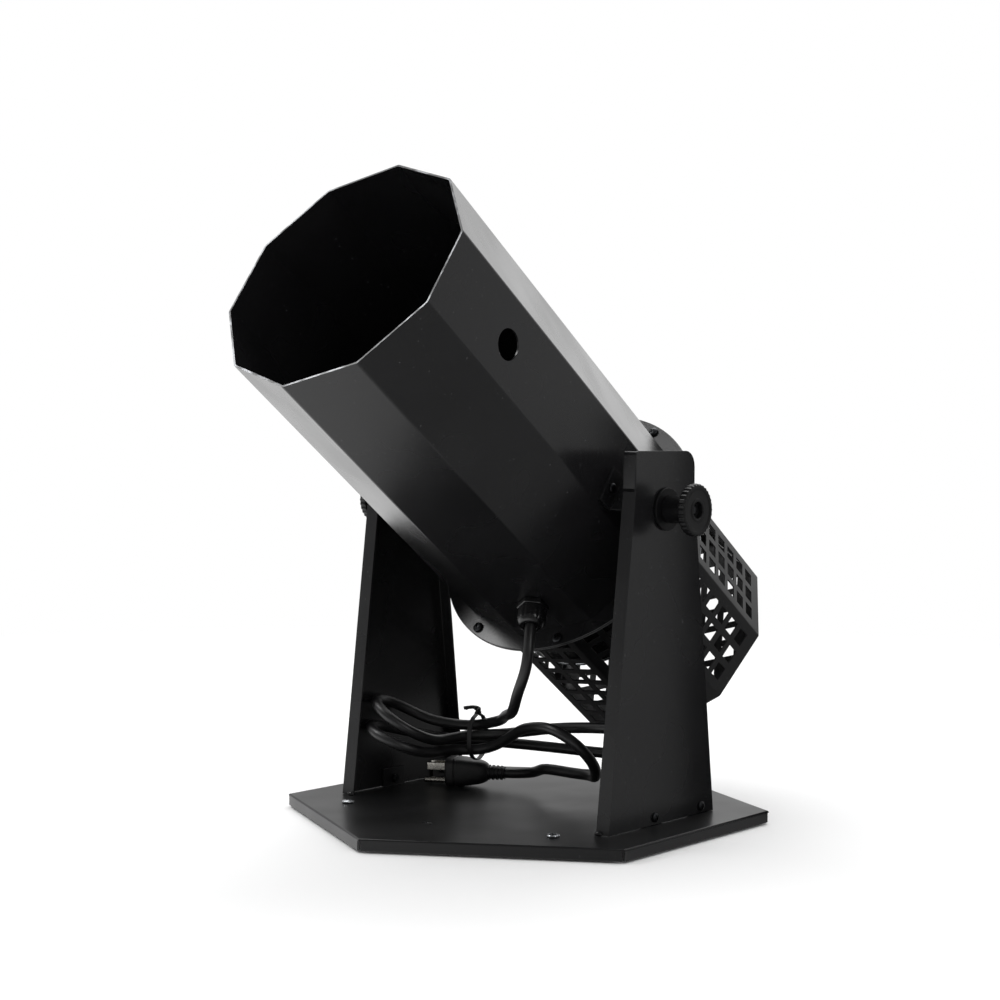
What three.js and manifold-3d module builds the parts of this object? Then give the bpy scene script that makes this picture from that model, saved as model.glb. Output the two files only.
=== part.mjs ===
// Confetti blower: a tilting ten-sided fan barrel on a yoke, over a hexagonal base plate.
// Millimetres, +Z up. The mouth looks towards -Y and is raised by the rest elevation.
import * as THREE from "three";
import { mergeVertices } from "three/addons/utils/BufferGeometryUtils.js";
import Module from "manifold-3d";

const wasm = await Module();
wasm.setup();
const { Manifold, Mesh } = wasm;

// Clearances shared by every fit
const gap = 0.3;
const overrun = 5;
const sideNames = [["left", -1], ["right", 1]];

// Base plate
const sheet = 1.5;
const base = {
  halfFlats: 170, height: 9.13, sheet, skirtGap: 3, slotX: -2, slotY: -117, slotLength: 8, slotWidth: 4,
  footX: 104, footY: 97,
};
const lug = { height: 15, width: 26, sheet: 1.8 };
const foot = { radius: 13, proud: 1.5, recessRadius: 6.5, recessTop: 2.6, sides: 18 };
const footScrew = { radius: 2.5, headRadius: 5, headHeight: 2.6, nutRadius: 4.9, nutHeight: 2.4 };

// Uprights
const upright = {
  outerX: 135.4, sheet: 1.8, flange: 12, footHalf: 70.3, topHalf: 39.4, kinkZ: 264.9, topZ: 294.45,
  rearRadius: 12, frontRadius: 3, notch: 2.4,
};
const webScrew = {
  ys: [-11, 52], rise: 6, radius: 2, headRadius: 3.8, headHeight: 2.2, nutRadius: 3.9, nutHeight: 2.6,
};

// Tilt axis
const pivotZ = 250;
const restElevation = 35.68;

// Barrel, with s measured back from the mouth and u upwards from the barrel's axis
const barrel = {
  corner: 103, sheet, length: 331.7, pivotS: 275.3, pivotDrop: 13.6,
  portS: 86.4, portU: -1, portRadius: 11.8,
};
const sides = 10;
const halfStep = Math.PI / sides;
const barrelFlat = barrel.corner * Math.cos(halfStep);

// Flanges and their bolts
const flange = { radius: 115.5, bore: 88, sheet, boltCircle: 109, bolts: 8, firstBolt: 20 };
const flangeBolt = {
  radius: 2.5, headRadius: 4.4, headHeight: 2.8, nutRadius: 4.4, nutHeight: 4, tail: 2.5,
};
const collar = { sheet: 1.5, endS: 398 };

// Fan
const fan = {
  hubRadius: 38, startS: 346, endS: 376, blades: 5, tipGap: 2.2, bladeSheet: 2.2,
  rootPitch: 45, tipPitch: 26, rootChord: 32, tipChord: 50, bladeSteps: 6,
};
const motor = { radius: 36, shaftRadius: 4, gapToRotor: 2, plate: 2, plateRadius: 40 };
const guard = { wire: 3, rings: [56, 72], spokes: 4, ringSteps: 24, wireSides: 5 };

// Perforated cage over the intake
const cage = {
  corner: 101.2, turn: 3.5, sheet: 1.2, endS: 497.5, hole: 11.6, pitch: 17.5, columns: 8, rows: 3,
  lastColumnS: 478, plateInset: 1.2, plateHoleMargin: 5,
};

// Trunnion brackets, screwed to the barrel's flats
const trunnion = {
  outerX: 131, sheet: 2.5, halfLength: 20, ear: 14, halfHeight: 15, screwRadius: 2, screwHeadRadius: 3.8,
  screwHeadHeight: 2.2, screwLength: 6,
};

// Pivot bolt, washers and clamp knob
const pivotBolt = { radius: 4, headRadius: 7.5, headHeight: 4.5, crown_share: 0.6, tipX: 161.6, point: 1 };
const innerWasher = { radius: 12, thickness: 1.7 };
const outerWasher = { radius: 16.5, thickness: 2.2 };
const knob = {
  faceX: 165.1, rimRadius: 20.1, rimThickness: 6.5, hubRadius: 10.5, recessRadius: 6, recessDepth: 4.2,
  teeth: 32, toothDepth: 0.9,
};

// Lead, gland and plug
const lead = {
  radius: 4.4, sides: 8, formSides: 6, freeSteps: 24, hankSteps: 96, straightEnd: 8.8,
  measureSteps: 2000, neighbours: 8,
};
const gland = {
  s: 297, flat: -72, threadRadius: 8, threadOut: 5, threadIn: 9, hexRadius: 12.7, hexLength: 5,
  nutRadius: 12, nutHeight: 4.5, capRadius: 11.4, capLength: 10.5, domeLength: 5, domeSteps: 3,
  mouthRadius: 7.6, entry: 3,
};
const plug = {
  x: -82, y: 26, yaw: 206, halfWidth: 12.6, halfHeight: 12.2, length: 34, corner_share: 0.42,
  neckRadius: 6.4, neckLength: 16, bladeGap: 12.7, bladeWidth: 6.3, bladeSheet: 1.5, bladeLength: 16,
  earthRadius: 2.4, earthLength: 20, earthDrop: 8.4,
};
const tie = { width: 4, thickness: 0.9, clearance: 0.6, sides: 16 };

// Row frame: the origin stands under the middle of the object's box
const boxShift = 14;

// Turns a closed geometry into a solid
function solid(geometry) {
  const g = (geometry.index ? geometry.toNonIndexed() : geometry).clone();
  for (const name of Object.keys(g.attributes)) if (name !== "position") g.deleteAttribute(name);
  const merged = mergeVertices(g, 1e-4);
  return new Manifold(
    new Mesh({
      numProp: 3,
      vertProperties: new Float32Array(merged.attributes.position.array),
      triVerts: new Uint32Array(merged.index.array),
    }),
  );
}

// Turns a solid back into flat-shaded geometry
function geometryOf(body) {
  const m = body.getMesh();
  const g = new THREE.BufferGeometry();
  g.setAttribute("position", new THREE.BufferAttribute(new Float32Array(m.vertProperties), 3));
  g.setIndex([...m.triVerts]);
  const flat = g.toNonIndexed();
  flat.computeVertexNormals();
  return flat;
}

// Applies moves to a geometry in the order given
function moved(geometry, { rotate = [0, 0, 0], at = [0, 0, 0] } = {}) {
  const matrix = new THREE.Matrix4().makeRotationFromEuler(new THREE.Euler(...rotate));
  matrix.setPosition(...at);
  return geometry.applyMatrix4(matrix);
}

const box = (sx, sy, sz, at) => solid(moved(new THREE.BoxGeometry(sx, sy, sz), { at }));

// A cylinder from one height to another about the Z axis
function cylinder(radius, from, to, segments = 32, radiusTop = radius) {
  const g = new THREE.CylinderGeometry(radiusTop, radius, to - from, segments);
  return solid(moved(g, { rotate: [Math.PI / 2, 0, 0], at: [0, 0, (from + to) / 2] }));
}

// A turned piece from [radius, height] points, closed on its axis or on itself
function turned(points, segments = 48) {
  const profile = points.map(([r, z]) => new THREE.Vector2(r, z));
  if (THREE.ShapeUtils.area(profile) < 0) profile.reverse();
  const onAxis = profile[0].x === 0 && profile[profile.length - 1].x === 0;
  if (!onAxis) profile.push(profile[0].clone());
  return solid(moved(new THREE.LatheGeometry(profile, segments), { rotate: [Math.PI / 2, 0, 0] }));
}

// A prism over an outline of [x, y] points, from one height to another
function prism(points, from, to) {
  const shape = new THREE.Shape(points.map(([x, y]) => new THREE.Vector2(x, y)));
  const g = new THREE.ExtrudeGeometry(shape, { depth: to - from, bevelEnabled: false });
  return solid(moved(g, { at: [0, 0, from] }));
}

function polygon(corner, count, firstAngle) {
  return Array.from({ length: count }, (_, k) => {
    const a = firstAngle + (2 * Math.PI * k) / count;
    return [corner * Math.cos(a), corner * Math.sin(a)];
  });
}

const union = (list) => Manifold.union(list);
const degrees = (value) => (value * Math.PI) / 180;

// Puts a solid made along +Z on the X axis, its +Z pointing outwards on the given side
const outward = (body, sign) => body.rotate([0, sign * 90, 0]);

// Materials
const paint = new THREE.MeshStandardMaterial({ color: 0x17181a, roughness: 0.42, metalness: 0.1 });
const barrelPaint = new THREE.MeshStandardMaterial({ color: 0x1b1c1e, roughness: 0.36, metalness: 0.1 });
const nylon = new THREE.MeshStandardMaterial({ color: 0x101011, roughness: 0.5, metalness: 0 });
const rubber = new THREE.MeshStandardMaterial({ color: 0x0f0f10, roughness: 0.75, metalness: 0 });
const zinc = new THREE.MeshStandardMaterial({ color: 0xb9bcc0, roughness: 0.32, metalness: 1 });
const blackScrew = new THREE.MeshStandardMaterial({ color: 0x1c1d1f, roughness: 0.35, metalness: 0.8 });
const nickel = new THREE.MeshStandardMaterial({ color: 0xd0cfca, roughness: 0.22, metalness: 1 });
const cast = new THREE.MeshStandardMaterial({ color: 0x2a2b2d, roughness: 0.5, metalness: 0.6 });
const leadRubber = new THREE.MeshStandardMaterial({ color: 0x121213, roughness: 0.62, metalness: 0 });
const wirePaint = new THREE.MeshStandardMaterial({ color: 0x8d9094, roughness: 0.3, metalness: 1 });

function part(name, body, material, parent) {
  const mesh = new THREE.Mesh(body.isBufferGeometry ? body : geometryOf(body), material);
  mesh.name = name;
  parent.add(mesh);
  return mesh;
}

const object = new THREE.Group();
const stand = new THREE.Group();
stand.position.set(0, boxShift, foot.proud);
object.add(stand);

// The head turns about the tilt axis. In it -Y looks out of the mouth and Z is u.
const head = new THREE.Group();
head.position.set(0, 0, pivotZ);
head.rotation.x = -degrees(restElevation);
stand.add(head);

// Everything along the barrel is made on the Z axis, with Z as s, and laid along the head's Y.
const alongBarrel = new THREE.Group();
alongBarrel.position.set(0, -barrel.pivotS, barrel.pivotDrop);
alongBarrel.rotation.x = -Math.PI / 2;
head.add(alongBarrel);
const plateTop = base.height;

// Base plate: folded hexagon with open corners, and lugs bent up for the uprights
function basePlate() {
  const corner = base.halfFlats / Math.cos(Math.PI / 6);
  const first = Math.PI / 6;
  const inset = base.sheet / Math.cos(Math.PI / 6);
  let plate = prism(polygon(corner, 6, first), 0, plateTop);
  plate = plate.subtract(prism(polygon(corner - inset, 6, first), -overrun, plateTop - base.sheet));
  for (let k = 0; k < 6; k++) {
    const reach = 2 * base.height;
    const cut = box(reach, base.skirtGap, base.height, [corner, 0, base.height / 2 - base.sheet]);
    plate = plate.subtract(cut.rotate([0, 0, 30 + 60 * k]));
  }
  const slotHalf = (base.slotLength - base.slotWidth) / 2;
  for (const x of [-slotHalf, slotHalf]) {
    const end = cylinder(base.slotWidth / 2, -overrun, plateTop + overrun, 16);
    plate = plate.subtract(end.translate([base.slotX + x, base.slotY, 0]));
  }
  const slot = box(2 * slotHalf, base.slotWidth, 2 * plateTop, [base.slotX, base.slotY, plateTop]);
  plate = plate.subtract(slot);
  for (const [x, y] of footPlaces()) {
    const hole = cylinder(footScrew.radius + gap, -overrun, plateTop + overrun, 12);
    plate = plate.subtract(hole.translate([x, y, 0]));
  }
  const lugX = upright.outerX - upright.sheet - gap - lug.sheet / 2;
  for (const [, sign] of sideNames)
    for (const y of webScrew.ys) {
      const height = lug.height + base.sheet;
      const middleZ = plateTop - base.sheet + height / 2;
      const tongue = box(lug.sheet, lug.width, height, [sign * lugX, y, middleZ]);
      const hole = outward(cylinder(webScrew.radius + gap, -overrun, overrun, 12), 1);
      plate = plate.add(tongue).subtract(hole.translate([sign * lugX, y, plateTop + webScrew.rise]));
    }
  return plate;
}

function footPlaces() {
  return [[-1, -1], [1, -1], [1, 1], [-1, 1]].map(([i, j]) => [i * base.footX, j * base.footY]);
}

function rubberFoot() {
  return turned([
    [footScrew.radius + gap, foot.recessTop],
    [foot.recessRadius, foot.recessTop],
    [foot.recessRadius, -foot.proud],
    [foot.radius, -foot.proud],
    [foot.radius, plateTop - base.sheet - gap],
    [footScrew.radius + gap, plateTop - base.sheet - gap],
  ], foot.sides);
}

// A pan screw along Z, its head seated at the top height, with a nut under the bottom height
function panScrew({ radius, headRadius, headHeight, nutRadius, nutHeight }, seat, nutTop, tail = 0) {
  const nutBottom = nutTop - nutHeight;
  const screw = turned([
    [0, nutBottom - tail],
    [radius, nutBottom - tail],
    [radius, seat],
    [headRadius, seat],
    [headRadius, seat + headHeight],
    [0, seat + headHeight],
  ], 12);
  return nutHeight ? screw.add(cylinder(nutRadius, nutBottom, nutTop, 6)) : screw;
}

// Uprights: tapered webs with inward flanges on both edges
function uprightOutline(inset, bottom, top) {
  const { footHalf, topHalf, kinkZ } = upright;
  const slope = (footHalf - topHalf) / (kinkZ - plateTop - gap);
  const bottomHalf = topHalf + slope * (kinkZ - bottom) - inset;
  const straightHalf = topHalf - inset;
  return [
    [-bottomHalf, bottom],
    [bottomHalf, bottom],
    [straightHalf, kinkZ],
    [straightHalf, top],
    [-straightHalf, top],
    [-straightHalf, kinkZ],
  ];
}

function uprightBody(sign) {
  const { outerX, flange: depth, sheet: wall, topHalf, topZ, kinkZ } = upright;
  const bottom = plateTop + gap;
  // A prism stands up with its own x as the part's y, its own y as z and its height along X.
  const standing = (points, from, to) => prism(points, from, to).rotate([90, 0, 90]);
  let body = standing(uprightOutline(0, bottom, topZ), outerX - depth, outerX);
  const inner = uprightOutline(wall, bottom - overrun, topZ + overrun);
  body = body.subtract(standing(inner, outerX - depth - overrun, outerX - wall));
  for (const [edge, radius] of [[-1, upright.frontRadius], [1, upright.rearRadius]]) {
    const centreY = edge * (topHalf - radius);
    const centreZ = topZ - radius;
    const size = radius + overrun;
    const square = box(4 * depth, size, size, [outerX, centreY + (edge * size) / 2, centreZ + size / 2]);
    const round = outward(cylinder(radius, outerX - 3 * depth, outerX + 3 * depth, 24), 1);
    body = body.subtract(square.subtract(round.translate([0, centreY, centreZ])));
  }
  for (const edge of [-1, 1]) {
    const cut = box(depth, 4 * wall, upright.notch, [outerX - wall - depth / 2, edge * topHalf, kinkZ]);
    body = body.subtract(cut);
  }
  const through = (radius, y, z) =>
    outward(cylinder(radius, outerX - 2 * wall, outerX + overrun, 16), 1).translate([0, y, z]);
  body = body.subtract(through(pivotBolt.radius + gap, 0, pivotZ));
  const screwZ = plateTop + webScrew.rise;
  for (const y of webScrew.ys) body = body.subtract(through(webScrew.radius + gap, y, screwZ));
  return sign > 0 ? body : body.mirror([1, 0, 0]);
}

// Barrel: ten-sided sheet tube with a round port in its right flat.
// Along the barrel, Z is s and Y points down, so an angle turned upwards from +X counts as negative.
const roundBarrel = (body, angle) => body.rotate([0, 0, -angle]);

function decagonTube(corner, wall, turn, from, to) {
  const first = Math.PI / 2 - degrees(turn);
  const inner = corner - wall / Math.cos(halfStep);
  const outside = prism(polygon(corner, sides, first), from, to);
  return outside.subtract(prism(polygon(inner, sides, first), from - overrun, to + overrun));
}

function trunnionScrewS() {
  const reach = trunnion.halfLength + trunnion.ear / 2;
  return [barrel.pivotS - reach, barrel.pivotS + reach];
}

function barrelBody() {
  let tube = decagonTube(barrel.corner, barrel.sheet, 0, 0, barrel.length);
  const radial = (radius, angle) =>
    roundBarrel(outward(cylinder(radius, 0, 2 * barrel.corner, Math.ceil(3 * radius)), 1), angle);
  tube = tube.subtract(radial(barrel.portRadius, 0).translate([0, -barrel.portU, barrel.portS]));
  for (const angle of [0, 180])
    for (const s of trunnionScrewS())
      tube = tube.subtract(radial(trunnion.screwRadius + gap, angle).translate([0, barrel.pivotDrop, s]));
  return tube.subtract(radial(gland.threadRadius + gap, gland.flat).translate([0, 0, gland.s]));
}

// Flanges: the barrel's own ring, and the fan's ring with its collar
const barrelFlangeS = barrel.length + gap;
const fanFlangeS = barrelFlangeS + flange.sheet + gap;
const cageS = fanFlangeS + flange.sheet + gap;

function boltAngles() {
  return Array.from({ length: flange.bolts }, (_, k) => flange.firstBolt + (360 / flange.bolts) * k);
}

function drilled(ring) {
  let body = ring;
  for (const angle of boltAngles()) {
    const hole = cylinder(flangeBolt.radius + gap, 0, 2 * cage.endS, 12);
    body = body.subtract(roundBarrel(hole.translate([flange.boltCircle, 0, 0]), angle));
  }
  return body;
}

function barrelFlange() {
  const from = barrelFlangeS;
  const to = from + flange.sheet;
  const { bore, radius } = flange;
  return drilled(turned([[bore, from], [radius, from], [radius, to], [bore, to]], 40));
}

function fanRing() {
  const from = fanFlangeS;
  const to = from + flange.sheet;
  const outer = flange.bore + collar.sheet;
  return drilled(turned([
    [flange.bore, from],
    [flange.radius, from],
    [flange.radius, to],
    [outer, to],
    [outer, collar.endS],
    [flange.bore, collar.endS],
  ], 40));
}

function flangeBoltBody() {
  const screw = panScrew(flangeBolt, -(barrelFlangeS - gap), -(cageS + gap), flangeBolt.tail);
  return screw.rotate([180, 0, 0]);
}

// Cage: perforated ten-sided wall with a front lip and a perforated rear plate
function cageWall() {
  const flat = cage.corner * Math.cos(halfStep);
  const endS = cage.endS;
  let wall = decagonTube(cage.corner, cage.sheet, cage.turn, cageS, endS);
  const lipBore = flange.bore + collar.sheet + 2 * gap;
  const lipOutline = polygon(cage.corner - cage.sheet, sides, Math.PI / 2 - degrees(cage.turn));
  const lip = prism(lipOutline, cageS, cageS + cage.sheet);
  wall = wall.add(lip.subtract(cylinder(lipBore, cageS - overrun, cageS + 2 * cage.sheet, 72)));
  const punches = [];
  for (let column = 0; column < cage.columns; column++)
    for (let row = 0; row < cage.rows; row++) {
      const across = (row - (cage.rows - 1) / 2) * cage.pitch;
      const s = cage.lastColumnS - column * cage.pitch;
      punches.push(box(4 * cage.sheet, cage.hole, cage.hole, [flat, across, s]));
    }
  const punch = union(punches);
  for (let k = 0; k < sides; k++) wall = wall.subtract(roundBarrel(punch, (360 / sides) * k + cage.turn));
  return wall;
}

function cageRear() {
  const corner = cage.corner - (cage.sheet + gap) / Math.cos(halfStep);
  const to = cage.endS - cage.plateInset;
  let plate = prism(polygon(corner, sides, Math.PI / 2 - degrees(cage.turn)), to - cage.sheet, to);
  const reach = corner * Math.cos(halfStep) - cage.plateHoleMargin;
  const count = Math.floor(reach / cage.pitch);
  const punches = [];
  for (let i = -count; i <= count; i++)
    for (let j = -count; j <= count; j++) {
      const x = i * cage.pitch;
      const y = j * cage.pitch;
      const farthest = Math.hypot(Math.abs(x) + cage.hole / 2, Math.abs(y) + cage.hole / 2);
      if (farthest < reach) punches.push(box(cage.hole, cage.hole, 4 * cage.sheet, [x, y, to]));
    }
  return plate.subtract(union(punches));
}

// Fan: wire guard with the motor plate, motor and rotor
const guardS = collar.endS + gap + guard.wire / 2;
const motorEndS = guardS - motor.plate / 2 - gap;
const motorStartS = fan.endS + motor.gapToRotor;

function wireGuard() {
  const { wire, wireSides } = guard;
  const ring = (radius) => {
    const hoop = solid(new THREE.TorusGeometry(radius, wire / 2, wireSides, guard.ringSteps));
    return hoop.translate([0, 0, guardS]);
  };
  const outer = flange.bore + collar.sheet / 2;
  const pieces = [...guard.rings.map(ring), ring(outer)];
  pieces.push(cylinder(motor.plateRadius, guardS - motor.plate / 2, guardS + motor.plate / 2, 24));
  for (let k = 0; k < guard.spokes; k++) {
    const spoke = outward(cylinder(wire / 2, motor.plateRadius - wire, outer, wireSides), 1);
    pieces.push(spoke.translate([0, 0, guardS]).rotate([0, 0, (360 / guard.spokes) * (k + 1 / 2)]));
  }
  return union(pieces);
}

function motorBody() {
  return turned([
    [0, fan.startS + fan.bladeSheet],
    [motor.shaftRadius, fan.startS + fan.bladeSheet],
    [motor.shaftRadius, motorStartS],
    [motor.radius, motorStartS],
    [motor.radius, motorEndS],
    [0, motorEndS],
  ], 32);
}

// A twisted blade, lofted from the hub outwards in rectangular sections
function bladeGeometry() {
  const rootRadius = fan.hubRadius - 2 * fan.bladeSheet;
  const tipRadius = flange.bore - fan.tipGap;
  const middleS = (fan.startS + fan.endS) / 2;
  const points = [];
  for (let i = 0; i <= fan.bladeSteps; i++) {
    const t = i / fan.bladeSteps;
    const radius = rootRadius + (tipRadius - rootRadius) * t;
    const pitch = degrees(fan.rootPitch + (fan.tipPitch - fan.rootPitch) * t);
    const chord = fan.rootChord + (fan.tipChord - fan.rootChord) * t;
    for (const [a, b] of [[-1, -1], [1, -1], [1, 1], [-1, 1]]) {
      const along = (a * chord) / 2;
      const thick = (b * fan.bladeSheet) / 2;
      const round = (along * Math.cos(pitch) - thick * Math.sin(pitch)) / radius;
      const s = middleS + along * Math.sin(pitch) + thick * Math.cos(pitch);
      points.push(radius * Math.cos(round), radius * Math.sin(round), s);
    }
  }
  const index = [0, 2, 1, 0, 3, 2];
  for (let i = 0; i < fan.bladeSteps; i++)
    for (let k = 0; k < 4; k++) {
      const a = 4 * i + k;
      const b = 4 * i + ((k + 1) % 4);
      index.push(a, b, b + 4, a, b + 4, a + 4);
    }
  const last = 4 * fan.bladeSteps;
  index.push(last, last + 1, last + 2, last, last + 2, last + 3);
  const g = new THREE.BufferGeometry();
  g.setAttribute("position", new THREE.Float32BufferAttribute(points, 3));
  g.setIndex(index);
  return g;
}

function rotorBody() {
  const blade = solid(bladeGeometry());
  const pieces = [cylinder(fan.hubRadius, fan.startS, fan.endS, 64)];
  for (let k = 0; k < fan.blades; k++) pieces.push(blade.rotate([0, 0, (360 / fan.blades) * k]));
  const bore = cylinder(motor.shaftRadius + gap, fan.startS + fan.bladeSheet - gap, fan.endS + overrun, 32);
  return union(pieces).subtract(bore);
}

// Trunnion bracket: a hat section with two ears on the barrel's flat, made for the right side
function trunnionBody(sign) {
  const { outerX, sheet: wall, halfLength, ear, halfHeight } = trunnion;
  const innerX = barrelFlat + gap;
  const outline = [
    [-(halfLength + ear), innerX],
    [-halfLength + wall, innerX],
    [-halfLength + wall, outerX - wall],
    [halfLength - wall, outerX - wall],
    [halfLength - wall, innerX],
    [halfLength + ear, innerX],
    [halfLength + ear, innerX + wall],
    [halfLength, innerX + wall],
    [halfLength, outerX],
    [-halfLength, outerX],
    [-halfLength, innerX + wall],
    [-(halfLength + ear), innerX + wall],
  ];
  // The outline lies in the head's Y and X; turned over, its own height runs down u.
  let body = prism(outline, -halfHeight, halfHeight).rotate([180, 0, 90]);
  const bore = outward(cylinder(pivotBolt.radius + gap, 0, 2 * outerX, 20), 1);
  body = body.subtract(bore);
  for (const s of trunnionScrewS()) {
    const hole = outward(cylinder(trunnion.screwRadius + gap, 0, 2 * outerX, 10), 1);
    body = body.subtract(hole.translate([0, s - barrel.pivotS, 0]));
  }
  return sign > 0 ? body : body.mirror([1, 0, 0]);
}

function trunnionScrew() {
  const seat = barrelFlat + trunnion.sheet + 2 * gap;
  const shape = {
    radius: trunnion.screwRadius,
    headRadius: trunnion.screwHeadRadius,
    headHeight: trunnion.screwHeadHeight,
    nutRadius: 0,
    nutHeight: 0,
  };
  return panScrew(shape, seat, seat - trunnion.sheet - trunnion.screwLength);
}

function pivotBoltBody() {
  const seat = trunnion.outerX - trunnion.sheet - gap;
  return turned([
    [0, seat - pivotBolt.headHeight],
    [pivotBolt.headRadius * pivotBolt.crown_share, seat - pivotBolt.headHeight],
    [pivotBolt.headRadius, seat],
    [pivotBolt.radius, seat],
    [pivotBolt.radius, pivotBolt.tipX - pivotBolt.point],
    [pivotBolt.radius - pivotBolt.point, pivotBolt.tipX],
    [0, pivotBolt.tipX],
  ], 20);
}

const washer = (radius, from, to) => {
  const bore = pivotBolt.radius + gap;
  return turned([[bore, from], [radius, from], [radius, to], [bore, to]], 20);
};
const innerWasherX = trunnion.outerX + gap;
const outerWasherX = upright.outerX + gap;

// Clamp knob: hub and knurled rim, bored for the bolt
function knobBody() {
  const bore = pivotBolt.radius + gap;
  const startX = outerWasherX + outerWasher.thickness + gap;
  const rimX = knob.faceX - knob.rimThickness;
  const teeth = Array.from({ length: 2 * knob.teeth }, (_, k) => {
    const a = (Math.PI * k) / knob.teeth;
    const r = knob.rimRadius - (k % 2) * knob.toothDepth;
    return [r * Math.cos(a), r * Math.sin(a)];
  });
  const rim = prism(teeth, rimX, knob.faceX);
  const hub = cylinder(knob.hubRadius, startX, rimX + knob.rimThickness / 2, 32);
  const cut = turned([
    [0, startX - overrun],
    [bore, startX - overrun],
    [bore, knob.faceX - knob.recessDepth],
    [knob.recessRadius, knob.faceX - knob.recessDepth],
    [knob.recessRadius, knob.faceX + overrun],
    [0, knob.faceX + overrun],
  ], 24);
  return rim.add(hub).subtract(cut);
}

// Gland, on its own Z from the barrel's flat outwards
const leadBore = lead.radius + gap;
const glandCapZ = gap + gland.hexLength + gap;
const glandEndZ = glandCapZ + gland.capLength + gland.domeLength;
const leadStartZ = glandEndZ - gland.entry;

function glandBody() {
  const threadTop = gap + gland.hexLength + gland.threadOut;
  const tube = turned([
    [leadBore, -gland.threadIn],
    [gland.threadRadius, -gland.threadIn],
    [gland.threadRadius, threadTop],
    [leadBore, threadTop],
  ], 24);
  const hex = cylinder(gland.hexRadius, gap, gap + gland.hexLength, 6);
  return tube.add(hex.subtract(cylinder(gland.threadRadius - gap, -overrun, threadTop, 24)));
}

function glandCap() {
  const inner = gland.threadRadius + gap;
  const threadTop = gap + gland.hexLength + gland.threadOut + gap;
  const shoulder = glandCapZ + gland.capLength;
  const { capRadius, domeLength, domeSteps, mouthRadius } = gland;
  const arc = Array.from({ length: domeSteps + 1 }, (_, k) => {
    const a = (Math.PI / 2) * (k / domeSteps);
    return [mouthRadius + (capRadius - mouthRadius) * Math.cos(a), shoulder + domeLength * Math.sin(a)];
  });
  return turned([
    [inner, glandCapZ],
    [capRadius, glandCapZ],
    ...arc,
    [leadBore, glandEndZ],
    [leadBore, threadTop],
    [inner, threadTop],
  ], 24);
}

function glandNut() {
  const top = -(barrel.sheet + gap);
  const bore = cylinder(gland.threadRadius + gap, top - gland.nutHeight - overrun, overrun, 24);
  return cylinder(gland.nutRadius, top - gland.nutHeight, top, 6).subtract(bore);
}

// Plug, on its own X with the face at the front, lying on the base plate
function plugBody() {
  const { halfWidth, halfHeight, length, neckRadius, neckLength, corner_share } = plug;
  const section = [];
  for (const [i, j] of [[1, -1], [1, 1], [-1, 1], [-1, -1]]) {
    const cut = halfHeight * corner_share;
    const flatEnd = [i * halfWidth, j * (halfHeight - cut)];
    const topEnd = [i * (halfWidth - cut), j * halfHeight];
    section.push(...(i * j < 0 ? [topEnd, flatEnd] : [flatEnd, topEnd]));
  }
  const block = prism(section, -length / 2, length / 2);
  const neck = turned([
    [0, -length / 2 - neckLength],
    [neckRadius, -length / 2 - neckLength],
    [halfWidth - neckRadius / 4, -length / 2],
    [0, -length / 2 + overrun],
  ], 24);
  return block.add(neck).rotate([90, 0, 90]);
}

function plugBlade(side) {
  const from = plug.length / 2 + gap;
  const at = [from + plug.bladeLength / 2, (side * plug.bladeGap) / 2, plug.earthDrop / 2];
  return box(plug.bladeLength, plug.bladeSheet, plug.bladeWidth, at);
}

function plugEarth() {
  const from = plug.length / 2 + gap;
  const pin = outward(cylinder(plug.earthRadius, from, from + plug.earthLength, 20), 1);
  return pin.translate([0, 0, -plug.earthDrop]);
}

// Lead: one smooth line runs near its places and starts and ends on the end ones.
class SmoothLine extends THREE.Curve {
  constructor(places) {
    super();
    const last = places.length - 1;
    const mirrored = (at, from) => places[at].clone().multiplyScalar(2).sub(places[from]);
    this.places = [mirrored(0, 1), ...places, mirrored(last, last - 1)];
    this.spans = last;
    this.arcLengthDivisions = lead.measureSteps;
  }

  getPoint(t, target = new THREE.Vector3()) {
    const span = Math.min(Math.floor(t * this.spans), this.spans - 1);
    const w = t * this.spans - span;
    const weights = [
      (1 - w) ** 3, 3 * w ** 3 - 6 * w ** 2 + 4, -3 * w ** 3 + 3 * w ** 2 + 3 * w + 1, w ** 3,
    ];
    target.set(0, 0, 0);
    weights.forEach((weight, k) => target.addScaledVector(this.places[span + k], weight / 6));
    return target;
  }
}

const vector = (list) => new THREE.Vector3(...list);

function leadTube(places, steps, count) {
  const shape = new THREE.Shape(polygon(lead.radius, count, 0).map(([x, y]) => new THREE.Vector2(x, y)));
  const extrudePath = new SmoothLine(places);
  return new THREE.ExtrudeGeometry(shape, { steps, extrudePath, bevelEnabled: false });
}

// Where the lead leaves the gland, and which way
function glandExit() {
  const angle = degrees(gland.flat);
  const normal = new THREE.Vector3(Math.cos(angle), 0, Math.sin(angle));
  const place = new THREE.Vector3(0, gland.s - barrel.pivotS, barrel.pivotDrop);
  place.addScaledVector(normal, barrelFlat + leadStartZ);
  const toStand = new THREE.Matrix4().makeRotationX(-degrees(restElevation));
  const direction = normal.clone().applyMatrix4(toStand);
  const start = place.applyMatrix4(toStand).add(new THREE.Vector3(0, 0, pivotZ));
  return { start, direction };
}

// Where the lead goes into the plug's neck, and which way it comes
function plugEntry() {
  const yaw = degrees(plug.yaw);
  const direction = new THREE.Vector3(-Math.cos(yaw), -Math.sin(yaw), 0);
  const reach = plug.length / 2 + plug.neckLength + gap;
  const z = plateTop + gap + plug.halfHeight;
  return { end: new THREE.Vector3(plug.x, plug.y, z).addScaledVector(direction, reach), direction };
}

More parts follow.
